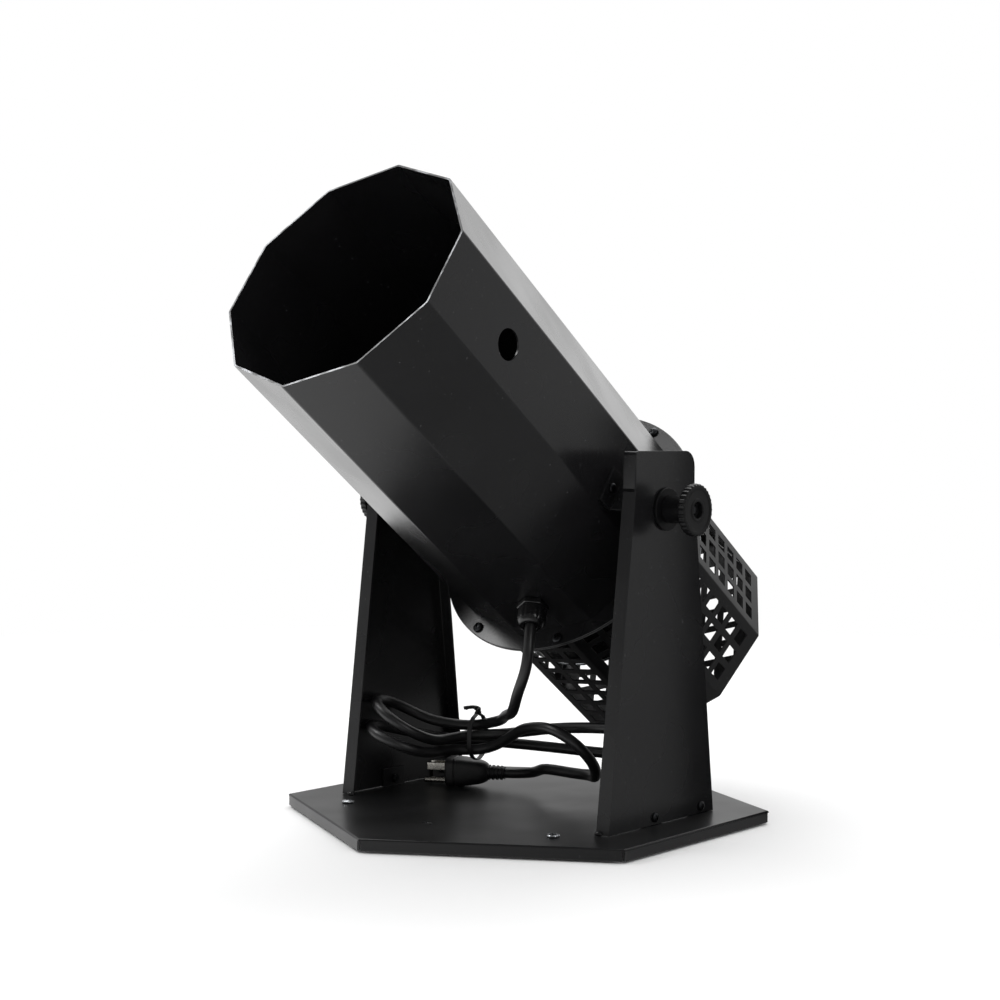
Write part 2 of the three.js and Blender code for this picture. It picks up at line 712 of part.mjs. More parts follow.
// Hank: four lobes that all pass the tied waist, each a slot lower than the one before
const hank = {
  waist: new THREE.Vector3(-66, 20, 52.4),
  run: new THREE.Vector3(0.97, 0.24, 0).normalize(),
  entry: new THREE.Vector3(0.9433, -0.2193, 0.2491).normalize(),
  entryLength: 22.5,
  stagger: 5.2,
  rise: 6.6,
  leadIn: 35,
  slot_fade_share: 0.6,
  fold_share: 1.06,
  foldAngles: [10, 50, 90, 130, 170],
  lobe_shares: [[0.235, 0.16], [0.565, 0.62], [0.75, 0.955]],
  lobes: [
    { tip: [-112.7, -52.9, 82.4], out: [-23.4, 13.1, 9.4], sway: [6.8, -8.2, 1.3] },
    { tip: [124.1, 23.9, 66.9], out: [-7.2, -30.8, 14.1], sway: [-16.7, 26.9, -4] },
    { tip: [-104.6, -61, 60], out: [-25.8, 3.5, 8], sway: [-2.7, -17.2, -5.5] },
    { tip: [65.9, -7.3, 57], out: [-11.5, -16, 21], sway: [1.2, 7.6, -11] },
  ],
  tail: [[48.7, 27, 33], [27, 33.3, 30.5], [-13.1, 36.8, 31.6], [-19.8, 45.3, 24.9]],
  freeRoute: [
    [42.3, -49.4, 138.8], [41.6, -52, 121.1], [32.9, -52.3, 104.7], [19.1, -39, 85.6], [-18.7, -1.2, 79],
  ],
};

function slotAt(index) {
  const across = new THREE.Vector3(hank.run.y, -hank.run.x, 0);
  const side = index % 2 ? 1 : -1;
  const up = ((hank.lobes.length - 1) / 2 - index) * hank.rise;
  return across.multiplyScalar(side * hank.stagger).add(new THREE.Vector3(0, 0, up));
}

const atWaist = (index) => hank.waist.clone().add(slotAt(index));

const hankStart = () => atWaist(0).addScaledVector(hank.entry, hank.entryLength);

// A lobe goes out on one side of its middle line, folds round its tip and comes back on the other.
function lobePlaces({ tip, out, sway }, side, from, to) {
  const bend = hank.waist.clone().addScaledVector(hank.run, side * hank.leadIn).add(vector(sway));
  const half = vector(out);
  const ahead = vector(tip).sub(bend).normalize();
  const centre = vector(tip).addScaledVector(ahead, -half.length());
  const place = (t, across, slot) => {
    const middle = hank.waist.clone().multiplyScalar((1 - t) ** 2);
    middle.addScaledVector(bend, 2 * t * (1 - t)).addScaledVector(centre, t ** 2);
    const near = Math.max(0, 1 - t / hank.slot_fade_share);
    return middle.addScaledVector(half, across).addScaledVector(slot, near);
  };
  const fold = hank.foldAngles.map((angle) => {
    const a = degrees(angle);
    const across = centre.clone().addScaledVector(half, hank.fold_share * Math.cos(a));
    return across.addScaledVector(ahead, hank.fold_share * half.length() * Math.sin(a));
  });
  const going = hank.lobe_shares.map(([t, across]) => place(t, across, from));
  const coming = hank.lobe_shares.map(([t, across]) => place(t, -across, to)).reverse();
  return [...going, ...fold, ...coming];
}

function hankPlaces() {
  const places = [hankStart(), atWaist(0)];
  const last = hank.lobes.length - 1;
  hank.lobes.forEach((lobe, k) => {
    const way = lobePlaces(lobe, k % 2 ? 1 : -1, slotAt(k), slotAt(Math.min(k + 1, last)));
    if (k < last) places.push(...way, atWaist(k + 1));
    else places.push(...way.slice(0, -hank.lobe_shares.length));
  });
  const { end, direction } = plugEntry();
  const beforeEnd = end.clone().addScaledVector(direction, lead.straightEnd);
  return [...places, ...hank.tail.map(vector), beforeEnd, end];
}

function freePlaces() {
  const { start, direction } = glandExit();
  const end = hankStart().addScaledVector(hank.entry, gap);
  return [
    start,
    start.clone().addScaledVector(direction, gland.entry + lead.straightEnd),
    ...hank.freeRoute.map(vector),
    end.clone().addScaledVector(hank.entry, lead.straightEnd),
    end,
  ];
}

// Prints the lead's length and the least gap between turns of its hank
function measureLead() {
  const line = new SmoothLine(hankPlaces());
  const length = line.getLength() + new SmoothLine(freePlaces()).getLength();
  const places = line.getSpacedPoints(Math.round(line.getLength() / lead.radius));
  let least = Infinity;
  for (let i = 0; i < places.length; i++)
    for (let j = i + lead.neighbours; j < places.length; j++)
      least = Math.min(least, places[i].distanceTo(places[j]) - 2 * lead.radius);
  console.log("lead", length.toFixed(0), "mm, least gap in the hank", least.toFixed(2), "mm");
}
measureLead();

// Where the strands pass the tie: the middle of their box, the oval's radius and how far it is drawn out
function waistOval() {
  const across = new THREE.Vector3(-hank.run.y, hank.run.x, 0);
  const line = new SmoothLine(hankPlaces());
  const strands = line.getSpacedPoints(lead.measureSteps).map((p) => p.sub(hank.waist));
  const passing = strands.filter((p) => Math.abs(p.dot(hank.run)) < tie.width);
  const places = passing.map((p) => [p.dot(across), p.z]);
  const [x, z] = [0, 1].map((axis) => {
    const values = places.map((place) => place[axis]);
    return { middle: (Math.min(...values) + Math.max(...values)) / 2, low: Math.min(...values) };
  });
  const rise = Math.max(x.low - x.middle - (z.low - z.middle), 0);
  const farthest = places.map(([px, pz]) =>
    Math.hypot(px - x.middle, Math.max(Math.abs(pz - z.middle) - rise, 0)),
  );
  const middle = hank.waist.clone().addScaledVector(across, x.middle);
  middle.z += z.middle;
  return { middle, rise, radius: Math.max(...farthest) + lead.radius + tie.clearance };
}

// The tie's band, an upright oval round the waist
function tieBody({ radius, rise }) {
  const oval = (size) =>
    polygon(size, tie.sides, Math.PI / tie.sides).map(([x, y]) => [x, y + Math.sign(y) * rise]);
  const band = prism(oval(radius + tie.thickness), -tie.width / 2, tie.width / 2);
  return band.subtract(prism(oval(radius), -tie.width, tie.width)).rotate([90, 0, 90]);
}

// Assembly: the stand
part("base_plate", basePlate(), paint, stand);
footPlaces().forEach(([x, y], k) => {
  const group = new THREE.Group();
  group.position.set(x, y, 0);
  stand.add(group);
  part("rubber_foot_" + (k + 1), rubberFoot(), rubber, group);
  part("foot_screw_" + (k + 1), panScrew(footScrew, plateTop + gap, foot.recessTop - gap), zinc, group);
});
for (const [side, sign] of sideNames) {
  part("upright_" + side, uprightBody(sign), paint, stand);
  webScrew.ys.forEach((y, k) => {
    const seat = upright.outerX + gap;
    const nutTop = upright.outerX - upright.sheet - lug.sheet - 2 * gap;
    const screw = outward(panScrew(webScrew, seat, nutTop), sign);
    const raised = screw.translate([0, y, plateTop + webScrew.rise]);
    part("web_screw_" + side + "_" + (k + 1), raised, blackScrew, stand);
  });
}

// Assembly: the head
part("barrel", barrelBody(), barrelPaint, alongBarrel);
part("barrel_flange", barrelFlange(), barrelPaint, alongBarrel);
part("fan_ring", fanRing(), barrelPaint, alongBarrel);
boltAngles().forEach((angle, k) => {
  const bolt = flangeBoltBody().translate([flange.boltCircle, 0, 0]);
  part("flange_bolt_" + (k + 1), roundBarrel(bolt, angle), zinc, alongBarrel);
});
part("cage_wall", cageWall(), barrelPaint, alongBarrel);
part("cage_rear", cageRear(), barrelPaint, alongBarrel);
part("wire_guard", wireGuard(), wirePaint, alongBarrel);
part("motor", motorBody(), cast, alongBarrel);
part("fan_rotor", rotorBody(), cast, alongBarrel);
for (const [side, sign] of sideNames) {
  part("trunnion_" + side, trunnionBody(sign), paint, head);
  trunnionScrewS().forEach((s, k) => {
    const screw = outward(trunnionScrew(), sign).translate([0, s - barrel.pivotS, 0]);
    part("trunnion_screw_" + side + "_" + (k + 1), screw, blackScrew, head);
  });
  part("pivot_bolt_" + side, outward(pivotBoltBody(), sign), zinc, head);
  const inner = washer(innerWasher.radius, innerWasherX, innerWasherX + innerWasher.thickness);
  part("inner_washer_" + side, outward(inner, sign), nylon, head);
  const outer = washer(outerWasher.radius, outerWasherX, outerWasherX + outerWasher.thickness);
  part("outer_washer_" + side, outward(outer, sign), nylon, head);
  part("clamp_knob_" + side, outward(knobBody(), sign), nylon, head);
}
const glandGroup = new THREE.Group();
const glandAngle = degrees(gland.flat);
glandGroup.position.set(barrelFlat * Math.cos(glandAngle), -barrelFlat * Math.sin(glandAngle), gland.s);
const glandNormal = new THREE.Vector3(Math.cos(glandAngle), -Math.sin(glandAngle), 0);
glandGroup.quaternion.setFromUnitVectors(new THREE.Vector3(0, 0, 1), glandNormal);
alongBarrel.add(glandGroup);
part("gland_body", glandBody(), nylon, glandGroup);
part("gland_cap", glandCap(), nylon, glandGroup);
part("gland_nut", glandNut(), nylon, glandGroup);

// Assembly: the lead
part("cord_free", leadTube(freePlaces(), lead.freeSteps, lead.sides), leadRubber, stand);
part("cord_hank", leadTube(hankPlaces(), lead.hankSteps, lead.formSides), leadRubber, stand);
const waist = waistOval();
const tieMesh = part("cable_tie", tieBody(waist), nylon, stand);
tieMesh.position.copy(waist.middle);
tieMesh.rotation.z = Math.atan2(hank.run.y, hank.run.x);
const plugGroup = new THREE.Group();
plugGroup.position.set(plug.x, plug.y, plateTop + gap + plug.halfHeight);
plugGroup.rotation.z = degrees(plug.yaw);
stand.add(plugGroup);
part("plug", plugBody(), leadRubber, plugGroup);
part("plug_live", plugBlade(1), nickel, plugGroup);
part("plug_neutral", plugBlade(-1), nickel, plugGroup);
part("plug_earth", plugEarth(), nickel, plugGroup);

export default object;
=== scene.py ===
import math

import bmesh
import bpy
from mathutils import Matrix, Vector


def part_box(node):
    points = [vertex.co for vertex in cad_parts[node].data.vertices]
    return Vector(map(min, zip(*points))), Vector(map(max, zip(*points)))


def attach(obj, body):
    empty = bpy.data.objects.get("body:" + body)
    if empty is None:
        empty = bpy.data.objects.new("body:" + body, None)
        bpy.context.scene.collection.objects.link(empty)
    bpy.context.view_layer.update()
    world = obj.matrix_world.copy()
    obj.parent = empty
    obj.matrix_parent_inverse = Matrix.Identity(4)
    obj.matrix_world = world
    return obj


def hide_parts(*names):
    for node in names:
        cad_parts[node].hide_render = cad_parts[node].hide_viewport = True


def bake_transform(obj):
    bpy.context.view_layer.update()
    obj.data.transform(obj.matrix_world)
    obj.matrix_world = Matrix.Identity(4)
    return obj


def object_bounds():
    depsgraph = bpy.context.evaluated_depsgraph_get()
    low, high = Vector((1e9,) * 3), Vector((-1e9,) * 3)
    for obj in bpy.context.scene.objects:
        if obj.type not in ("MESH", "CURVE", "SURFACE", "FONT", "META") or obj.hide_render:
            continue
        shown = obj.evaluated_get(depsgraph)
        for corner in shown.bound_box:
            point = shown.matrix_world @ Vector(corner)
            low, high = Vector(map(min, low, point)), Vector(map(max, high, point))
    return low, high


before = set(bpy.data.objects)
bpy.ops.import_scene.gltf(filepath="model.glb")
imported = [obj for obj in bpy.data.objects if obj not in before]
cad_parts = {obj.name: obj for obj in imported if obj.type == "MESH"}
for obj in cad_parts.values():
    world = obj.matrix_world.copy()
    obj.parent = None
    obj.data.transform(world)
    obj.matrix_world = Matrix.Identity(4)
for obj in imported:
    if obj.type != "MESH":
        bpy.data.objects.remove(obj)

bl_info = {
    "name": "Confetti blower",
    "version": (1, 0, 0),
    "blender": (4, 5, 0),
    "location": "View3D > Sidebar > Blower",
    "description": "Builds a tilting confetti blower with its lead, and a plain studio round it",
    "category": "Object",
}

CAD_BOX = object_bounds()
MM = 0.001
MERGE_DISTANCE = 0.00002

# Where the stand's own frame lies in the row frame, and how the head lies in it
STAND_AT = Vector((0, 14, 1.5)) * MM
PIVOT_HEIGHT = 250 * MM
REST_ELEVATION = math.radians(35.68)
PIVOT_ALONG = 275.3 * MM
AXIS_ABOVE_PIVOT = 13.6 * MM
HALF_STEP = math.pi / 10
# In the stand's own frame: the top of the base plate and the outside of each upright's web
PLATE_TOP = 9.13 * MM
WEB_OUTSIDE = 135.4 * MM

HEAD_TO_ROW = (
    Matrix.Translation(STAND_AT + Vector((0, 0, PIVOT_HEIGHT)))
    @ Matrix.Rotation(-REST_ELEVATION, 4, "X")
)
# Along the barrel: X is the distance behind the mouth, Y points left and Z up from the barrel's axis
BARREL_TO_ROW = (
    HEAD_TO_ROW
    @ Matrix.Translation((0, -PIVOT_ALONG, AXIS_ABOVE_PIVOT))
    @ Matrix(((0, -1, 0, 0), (1, 0, 0, 0), (0, 0, 1, 0), (0, 0, 0, 1)))
)


def linear(code):
    """Linear colour of an sRGB hex value"""
    values = [int(code[i : i + 2], 16) / 255 for i in (1, 3, 5)]
    return [v / 12.92 if v <= 0.04045 else ((v + 0.055) / 1.055) ** 2.4 for v in values]


# Sizes and colours that a user would change


def length_property(name, description, default):
    return bpy.props.FloatProperty(
        name=name, description=description, default=default, min=0, unit="LENGTH"
    )


def colour_property(name, description, code):
    return bpy.props.FloatVectorProperty(
        name=name, description=description, default=linear(code), size=3, min=0, max=1, subtype="COLOR"
    )


class BlowerSizes(bpy.types.PropertyGroup):
    fold_radius: length_property("Fold radius", "Outside radius of a fold in the sheet", 1.7 * MM)
    barrel_fold_radius: length_property("Barrel fold radius", "Setback of the barrel's folds", 1.3 * MM)
    cut_edge: length_property("Cut edge", "Rounding that the coat leaves on a cut edge", 0.28 * MM)
    lead_diameter: length_property("Lead diameter", "Diameter of the mains lead", 8.8 * MM)
    coat_grain: length_property("Coat grain", "Distance between the bumps of the powder coat", 0.9 * MM)
    hole_width: length_property("Hole width", "Width of one square hole of the cage", 11.6 * MM)
    hole_pitch: length_property("Hole pitch", "Distance between the holes of the cage", 17.5 * MM)


class BlowerColours(bpy.types.PropertyGroup):
    coat: colour_property("Powder coat", "Colour of the coated steel sheet", "#121213")
    nylon: colour_property("Nylon", "Colour of the knobs, the washers and the gland", "#0b0b0c")
    lead: colour_property("Lead", "Colour of the lead's sheath and the plug", "#101011")
    rubber: colour_property("Rubber", "Colour of the feet", "#1a1a1a")
    zinc: colour_property("Zinc", "Colour of the plated screws", "#b4b7ba")
    black_zinc: colour_property("Black zinc", "Colour of the dark screws", "#3a3b3d")
    # The light colour painted along the barrel's cut edge as a highlight
    painted_rim_highlight: colour_property("Worn edge", "Colour of the bare steel along a cut edge", "#77787a")
    nickel: colour_property("Nickel", "Colour of the plug's pins", "#cfccc4")
    casting: colour_property("Casting", "Colour of the motor's painted casting", "#3a3b3d")
    blade: colour_property("Blade", "Colour of the fan's cast blades", "#55575a")
    floor: colour_property("Floor", "Colour of the studio floor", "#f4f4f4")


def sizes():
    return bpy.context.scene.blower_sizes


def colours():
    return bpy.context.scene.blower_colours


WHITE = (1, 1, 1, 1)
BLACK = (0, 0, 0, 1)


# Node trees


class Field:
    """An output of a node. The signs of a formula of fields and numbers stand for its math nodes."""

    def __init__(self, socket):
        self.socket = socket
        self.tree = socket.id_data

    def beside(self, key):
        """Another output of the same node"""
        return Field(self.socket.node.outputs[key])

    def __neg__(self):
        return add_node(self.tree, "ShaderNodeMath", {0: 0, 1: self}, operation="SUBTRACT")

    def __abs__(self):
        return add_node(self.tree, "ShaderNodeMath", {0: self}, operation="ABSOLUTE")

    def __add__(self, other):
        return add_node(self.tree, "ShaderNodeMath", {0: self, 1: other}, operation="ADD")

    def __sub__(self, other):
        return add_node(self.tree, "ShaderNodeMath", {0: self, 1: other}, operation="SUBTRACT")

    def __rsub__(self, other):
        return add_node(self.tree, "ShaderNodeMath", {0: other, 1: self}, operation="SUBTRACT")

    def __mul__(self, other):
        return add_node(self.tree, "ShaderNodeMath", {0: self, 1: other}, operation="MULTIPLY")

    def __truediv__(self, other):
        return add_node(self.tree, "ShaderNodeMath", {0: self, 1: other}, operation="DIVIDE")

    def __rtruediv__(self, other):
        return add_node(self.tree, "ShaderNodeMath", {0: other, 1: self}, operation="DIVIDE")

    def __gt__(self, other):
        return add_node(self.tree, "ShaderNodeMath", {0: self, 1: other}, operation="GREATER_THAN")

    def __lt__(self, other):
        return add_node(self.tree, "ShaderNodeMath", {0: self, 1: other}, operation="LESS_THAN")


def add_node(tree, kind, inputs=None, key=0, **settings):
    """Adds a node with its settings, gives each input its value, field or list of fields, and returns the
    output of the given key as a field"""
    node = tree.nodes.new(kind)
    for setting, value in settings.items():
        setattr(node, setting, value)
    for label, given in (inputs or {}).items():
        for value in given if isinstance(given, list) else [given]:
            if isinstance(value, Field):
                tree.links.new(value.socket, node.inputs[label])
            else:
                node.inputs[label].default_value = value
    return Field(node.outputs[key]) if node.outputs else None


def scaled(colour, factor=1):
    return (*(min(1, v * factor) for v in colour), 1)


# Nearly all values of a noise lie between these two
NOISE_SPAN = {"From Min": 0.3, "From Max": 0.7}


def clouded(broad, colour, darkest, lightest):
    """The colour, darker and lighter from place to place"""
    shades = {6: scaled(colour, darkest), 7: scaled(colour, lightest)}
    factor = add_node(broad.tree, "ShaderNodeMapRange", {"Value": broad, **NOISE_SPAN})
    return add_node(broad.tree, "ShaderNodeMix", {0: factor, **shades}, 2, data_type="RGBA")


# Finishes

DUST = "#6b6c6d"
# Real distances between the marks of each finish, and their depths. The grains and the depths are drawn
# a little coarser than they are, because finer ones wouldn't show.
COAT_CLOUDS = 70 * MM
DUST_SPACING = 2.2 * MM
PEEL_DEPTH = 0.03 * MM
# How far apart the breaks in the painted edge highlight lie, and the cut edge's grain and its depth
HIGHLIGHT_BREAK_SPACING = 16 * MM
CUT_EDGE_GRAIN = 0.6 * MM
CUT_EDGE_GRAIN_DEPTH = 0.02 * MM
MOULD_CLOUDS = 14 * MM
PLATE_CLOUDS = 5 * MM
PLATE_MARKS = 0.01 * MM
SHEATH_CLOUDS = 20 * MM
LINE_DEPTH = 0.02 * MM
# How many draw lines lie round the lead
DRAW_LINES = 14
FINISH = {}


def new_material(name):
    """A material with an empty tree, and the place on the object as a field of that tree"""
    material = bpy.data.materials.new(name)
    material.use_nodes = True
    material.node_tree.nodes.clear()
    return material, add_node(material.node_tree, "ShaderNodeTexCoord", key="Object")


def close_material(material, colour, roughness, **inputs):
    """Ends a material's tree in its shader. A roughness of three parts is a noise and its two limits."""
    tree = material.node_tree
    if isinstance(roughness, tuple):
        source, low, high = roughness
        spread = {"Value": source, **NOISE_SPAN, "To Min": low, "To Max": high}
        roughness = add_node(tree, "ShaderNodeMapRange", spread)
    named = {"Base Color": colour, "Roughness": roughness, **inputs}
    shader = add_node(tree, "ShaderNodeBsdfPrincipled", named)
    add_node(tree, "ShaderNodeOutputMaterial", {"Surface": shader})
    return material


def powder_coat(name, spacing, roughness=0.25, ior=1.42):
    """Black polyester powder coat, sprayed and baked on steel sheet: a deep black with a soft sheen that
    breaks up over a fine orange peel, with broad reflections at a low angle and a little dust"""
    material, place = new_material(name)
    tree = place.tree
    broad = add_node(tree, "ShaderNodeTexNoise", {"Vector": place, "Scale": 1 / COAT_CLOUDS})
    peel = add_node(tree, "ShaderNodeTexNoise", {"Vector": place, "Scale": 1 / spacing, "Detail": 3})
    specks = add_node(tree, "ShaderNodeTexNoise", {"Vector": place, "Scale": 1 / DUST_SPACING, "Detail": 4})
    thin = {"From Min": 0.7, "From Max": 0.78, "To Min": 0, "To Max": 0.5}
    dust = add_node(tree, "ShaderNodeMapRange", {"Value": specks, **thin})
    shades = {6: clouded(broad, colours().coat, darkest=0.85, lightest=1.2), 7: scaled(linear(DUST))}
    colour = add_node(tree, "ShaderNodeMix", {0: dust, **shades}, 2, data_type="RGBA")
    bump = add_node(tree, "ShaderNodeBump", {"Height": peel, "Strength": 0.5, "Distance": PEEL_DEPTH})
    return close_material(
        material, colour, (broad, roughness - 0.03, roughness + 0.05), Normal=bump, IOR=ior
    )


def painted_highlight_edge(name):
    """Laser-cut steel edge, painted with a light metal colour in a broken line: a painted highlight along the
    cut edge
    """
    material, place = new_material(name)
    tree = place.tree
    broad = add_node(tree, "ShaderNodeTexNoise", {"Vector": place, "Scale": 1 / HIGHLIGHT_BREAK_SPACING, "Detail": 4})
    fine = add_node(tree, "ShaderNodeTexNoise", {"Vector": place, "Scale": 1 / CUT_EDGE_GRAIN, "Detail": 3})
    limits = {"From Min": 0.44, "From Max": 0.56, "To Min": 0.1, "To Max": 1}
    painted_highlight_mask = add_node(tree, "ShaderNodeMapRange", {"Value": broad, **limits})
    shades = {6: scaled(colours().coat), 7: scaled(colours().painted_rim_highlight)}
    colour = add_node(tree, "ShaderNodeMix", {0: painted_highlight_mask, **shades}, 2, data_type="RGBA")
    bump = add_node(tree, "ShaderNodeBump", {"Height": fine, "Strength": 0.5, "Distance": CUT_EDGE_GRAIN_DEPTH})
    return close_material(material, colour, (fine, 0.3, 0.45), Normal=bump, Metallic=painted_highlight_mask)


def moulded(name, colour, roughness, grain, depth, ior=1.5):
    """Nylon, rubber or PVC from a spark-eroded mould, or thick paint: an even fine grain under a soft, wide
    highlight"""
    material, place = new_material(name)
    tree = place.tree
    broad = add_node(tree, "ShaderNodeTexNoise", {"Vector": place, "Scale": 1 / MOULD_CLOUDS})
    fine = add_node(tree, "ShaderNodeTexNoise", {"Vector": place, "Scale": 1 / grain})
    bump = add_node(tree, "ShaderNodeBump", {"Height": fine, "Strength": 0.6, "Distance": depth})
    shade = clouded(broad, colour, darkest=0.85, lightest=1.25)
    return close_material(
        material, shade, (broad, roughness - 0.05, roughness + 0.06), Normal=bump, IOR=ior
    )


def plated(name, colour, roughness, stretch=(1, 1, 1), grain=0.5 * MM):
    """Bare or plated metal: clear reflections, slightly blurred by fine marks"""
    material, place = new_material(name)
    tree = place.tree
    mapped = add_node(tree, "ShaderNodeMapping", {"Vector": place, "Scale": stretch})
    marks = add_node(tree, "ShaderNodeTexNoise", {"Vector": mapped, "Scale": 1 / grain, "Detail": 3})
    broad = add_node(tree, "ShaderNodeTexNoise", {"Vector": place, "Scale": 1 / PLATE_CLOUDS})
    bump = add_node(tree, "ShaderNodeBump", {"Height": marks, "Strength": 0.4, "Distance": PLATE_MARKS})
    shade = clouded(broad, colour, darkest=0.82, lightest=1.05)
    return close_material(
        material, shade, (marks, roughness - 0.08, roughness + 0.1), Normal=bump, Metallic=1
    )


def sheath(name, colour):
    """Black PVC sheath, extruded: smooth along the lead, slightly waxy, with faint draw lines"""
    material, place = new_material(name)
    tree = place.tree
    uv = add_node(tree, "ShaderNodeTexCoord", key="UV")
    mapped = add_node(tree, "ShaderNodeMapping", {"Vector": uv, "Scale": (DRAW_LINES, 1, 1)})
    lines = add_node(tree, "ShaderNodeTexNoise", {"Vector": mapped, "Scale": 1})
    broad = add_node(tree, "ShaderNodeTexNoise", {"Vector": place, "Scale": 1 / SHEATH_CLOUDS})
    bump = add_node(tree, "ShaderNodeBump", {"Height": lines, "Strength": 0.4, "Distance": LINE_DEPTH})
    shade = clouded(broad, colour, darkest=0.85, lightest=1.3)
    return close_material(material, shade, (broad, 0.36, 0.46), Normal=bump, IOR=1.5)


def make_materials():
    c = colours()
    grain = sizes().coat_grain
    coarse = grain * 1.3
    return {
        # Deep black with a soft sheen, for the barrel, its rings and the uprights
        "coat": powder_coat("black_powder_coat", grain),
        # A duller coat with a coarser peel, so that the base plate looks flat and even
        "coarse_coat": powder_coat("black_coarse_powder_coat", coarse, 0.32, 1.38),
        # The dullest coat, so that the cage's flats stay dark at a low angle
        "satin_coat": powder_coat("black_satin_powder_coat", coarse, 0.4, 1.3),
        # Dark nylon with a soft highlight along each tooth of the knobs
        "nylon": moulded("black_moulded_nylon", c.nylon, 0.36, 0.5 * MM, 0.02 * MM, 1.3),
        # Smoother nylon with small bright highlights on the gland's dome
        "gloss": moulded("black_polished_nylon", c.nylon, 0.24, 0.8 * MM, 0.01 * MM),
        # A painted highlight: a thin light line, broken in places, round the barrel's mouth
        "painted_rim_highlight": painted_highlight_edge("worn_cut_edge"),
        # Dull, slightly grey rubber under the plate
        "rubber": moulded("black_foot_rubber", c.rubber, 0.7, 0.8 * MM, 0.05 * MM),
        # Matt plastic whose grain breaks up the light on the plug's grip
        "grip": moulded("black_plug_pvc", c.lead, 0.45, 0.7 * MM, 0.03 * MM),
        # A waxy streak of light along the lead
        "lead": sheath("black_lead_sheath", c.lead),
        # Bright, cool metal dots on the black plate
        "zinc": plated("bright_zinc_plate", c.zinc, 0.28),
        # Dark metal heads that show as small glints
        "black_zinc": plated("black_zinc_plate", c.black_zinc, 0.34),
        # Warm, bright pins with marks along them
        "nickel": plated("bright_nickel_plate", c.nickel, 0.2, (0.15, 1, 1)),
        # Grey paint over the rough skin of a casting
        "casting": moulded("painted_motor_casting", c.casting, 0.55, 1.2 * MM, 0.15 * MM),
        # Dull grey metal, as cast
        "blade": plated("cast_aluminium_blade", c.blade, 0.5, grain=1.5 * MM),
    }


def finish_of(key):
    if not FINISH:
        FINISH.update(make_materials())
    return FINISH[key]


# Mesh helpers


def link(name, mesh):
    piece = bpy.data.objects.new(name, mesh)
    bpy.context.scene.collection.objects.link(piece)
    return piece


def plain_mesh(piece):
    """The piece with its modifiers built in and removed"""
    graph = bpy.context.evaluated_depsgraph_get()
    mesh = bpy.data.meshes.new_from_object(
        piece.evaluated_get(graph), preserve_all_data_layers=True, depsgraph=graph
    )
    mesh.name = piece.name
    piece.modifiers.clear()
    piece.data = mesh
    return piece


def mesh_of(name, bm):
    """A mesh with the shape of bm, which is used up"""
    mesh = bpy.data.meshes.new(name)
    bm.to_mesh(mesh)
    bm.free()
    return mesh


def solid_piece(name, bm, material, smooth_angle=35, weighted=True):
    """An object of a closed mesh, shaded smooth up to an angle, its wide faces kept flat"""
    mesh = mesh_of(name, bm)
    mesh.shade_smooth()
    mesh.set_sharp_from_angle(angle=math.radians(smooth_angle))
    piece = link(name, mesh)
    if weighted:
        modifier = piece.modifiers.new("flat faces", "WEIGHTED_NORMAL")
        modifier.keep_sharp = True
        plain_mesh(piece)
    piece.data.materials.clear()
    piece.data.materials.append(material)
    return piece


def copied(name):
    """A copy of a CAD node's mesh, its loose triangles joined into whole faces"""
    bm = bmesh.new()
    bm.from_mesh(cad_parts[name].data)
    bmesh.ops.remove_doubles(bm, verts=bm.verts, dist=MERGE_DISTANCE)
    flat = math.radians(0.4)
    bmesh.ops.dissolve_limit(bm, angle_limit=flat, verts=bm.verts[:], edges=bm.edges[:])
    return bm


def sharp_edges(bm, angle=30):
    limit = math.radians(angle)
    return [e for e in bm.edges if len(e.link_faces) == 2 and e.calc_face_angle(0) > limit]


def rounded(bm, edges, radius, segments, clamp=True):
    if edges:
        bmesh.ops.bevel(
            bm, geom=edges, offset=radius, offset_type="OFFSET", segments=segments, profile=0.5,
            affect="EDGES", clamp_overlap=clamp,
        )


def outward_faces(bm):
    bmesh.ops.recalc_face_normals(bm, faces=bm.faces[:])


def settle(piece, body, slot, *nodes):
    """Rides the piece on its body and hides the CAD nodes it stands for. The slot it is given is not used."""
    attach(piece, body)
    if nodes:
        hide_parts(*nodes)


def sheet_piece(name, body, is_fold=None, fold_radius=None, cut_edge=None, finish="coat", clamp=False):
    """A CAD sheet-metal node with rounded folds and softened cut edges, held inside its own box"""
    bm = copied(name)
    if is_fold:
        rounded(bm, [e for e in sharp_edges(bm) if is_fold(e)], fold_radius or sizes().fold_radius, 4)
    rounded(bm, sharp_edges(bm), cut_edge or sizes().cut_edge, 2, clamp)
    low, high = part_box(name)
    for vert in bm.verts:
        vert.co = [min(max(value, least), most) for value, least, most in zip(vert.co, low, high)]
    piece = solid_piece(name + "_sheet", bm, finish_of(finish))
    settle(piece, body, "black_powder_coat", name)
    return piece


def soft_copy(node, body, finish, slot, radius, segments=2):
    """A CAD node with rounded edges"""
    bm = copied(node)
    rounded(bm, sharp_edges(bm), radius, segments)
    piece = solid_piece(node + "_piece", bm, finish_of(finish))
    settle(piece, body, slot, node)
    return piece


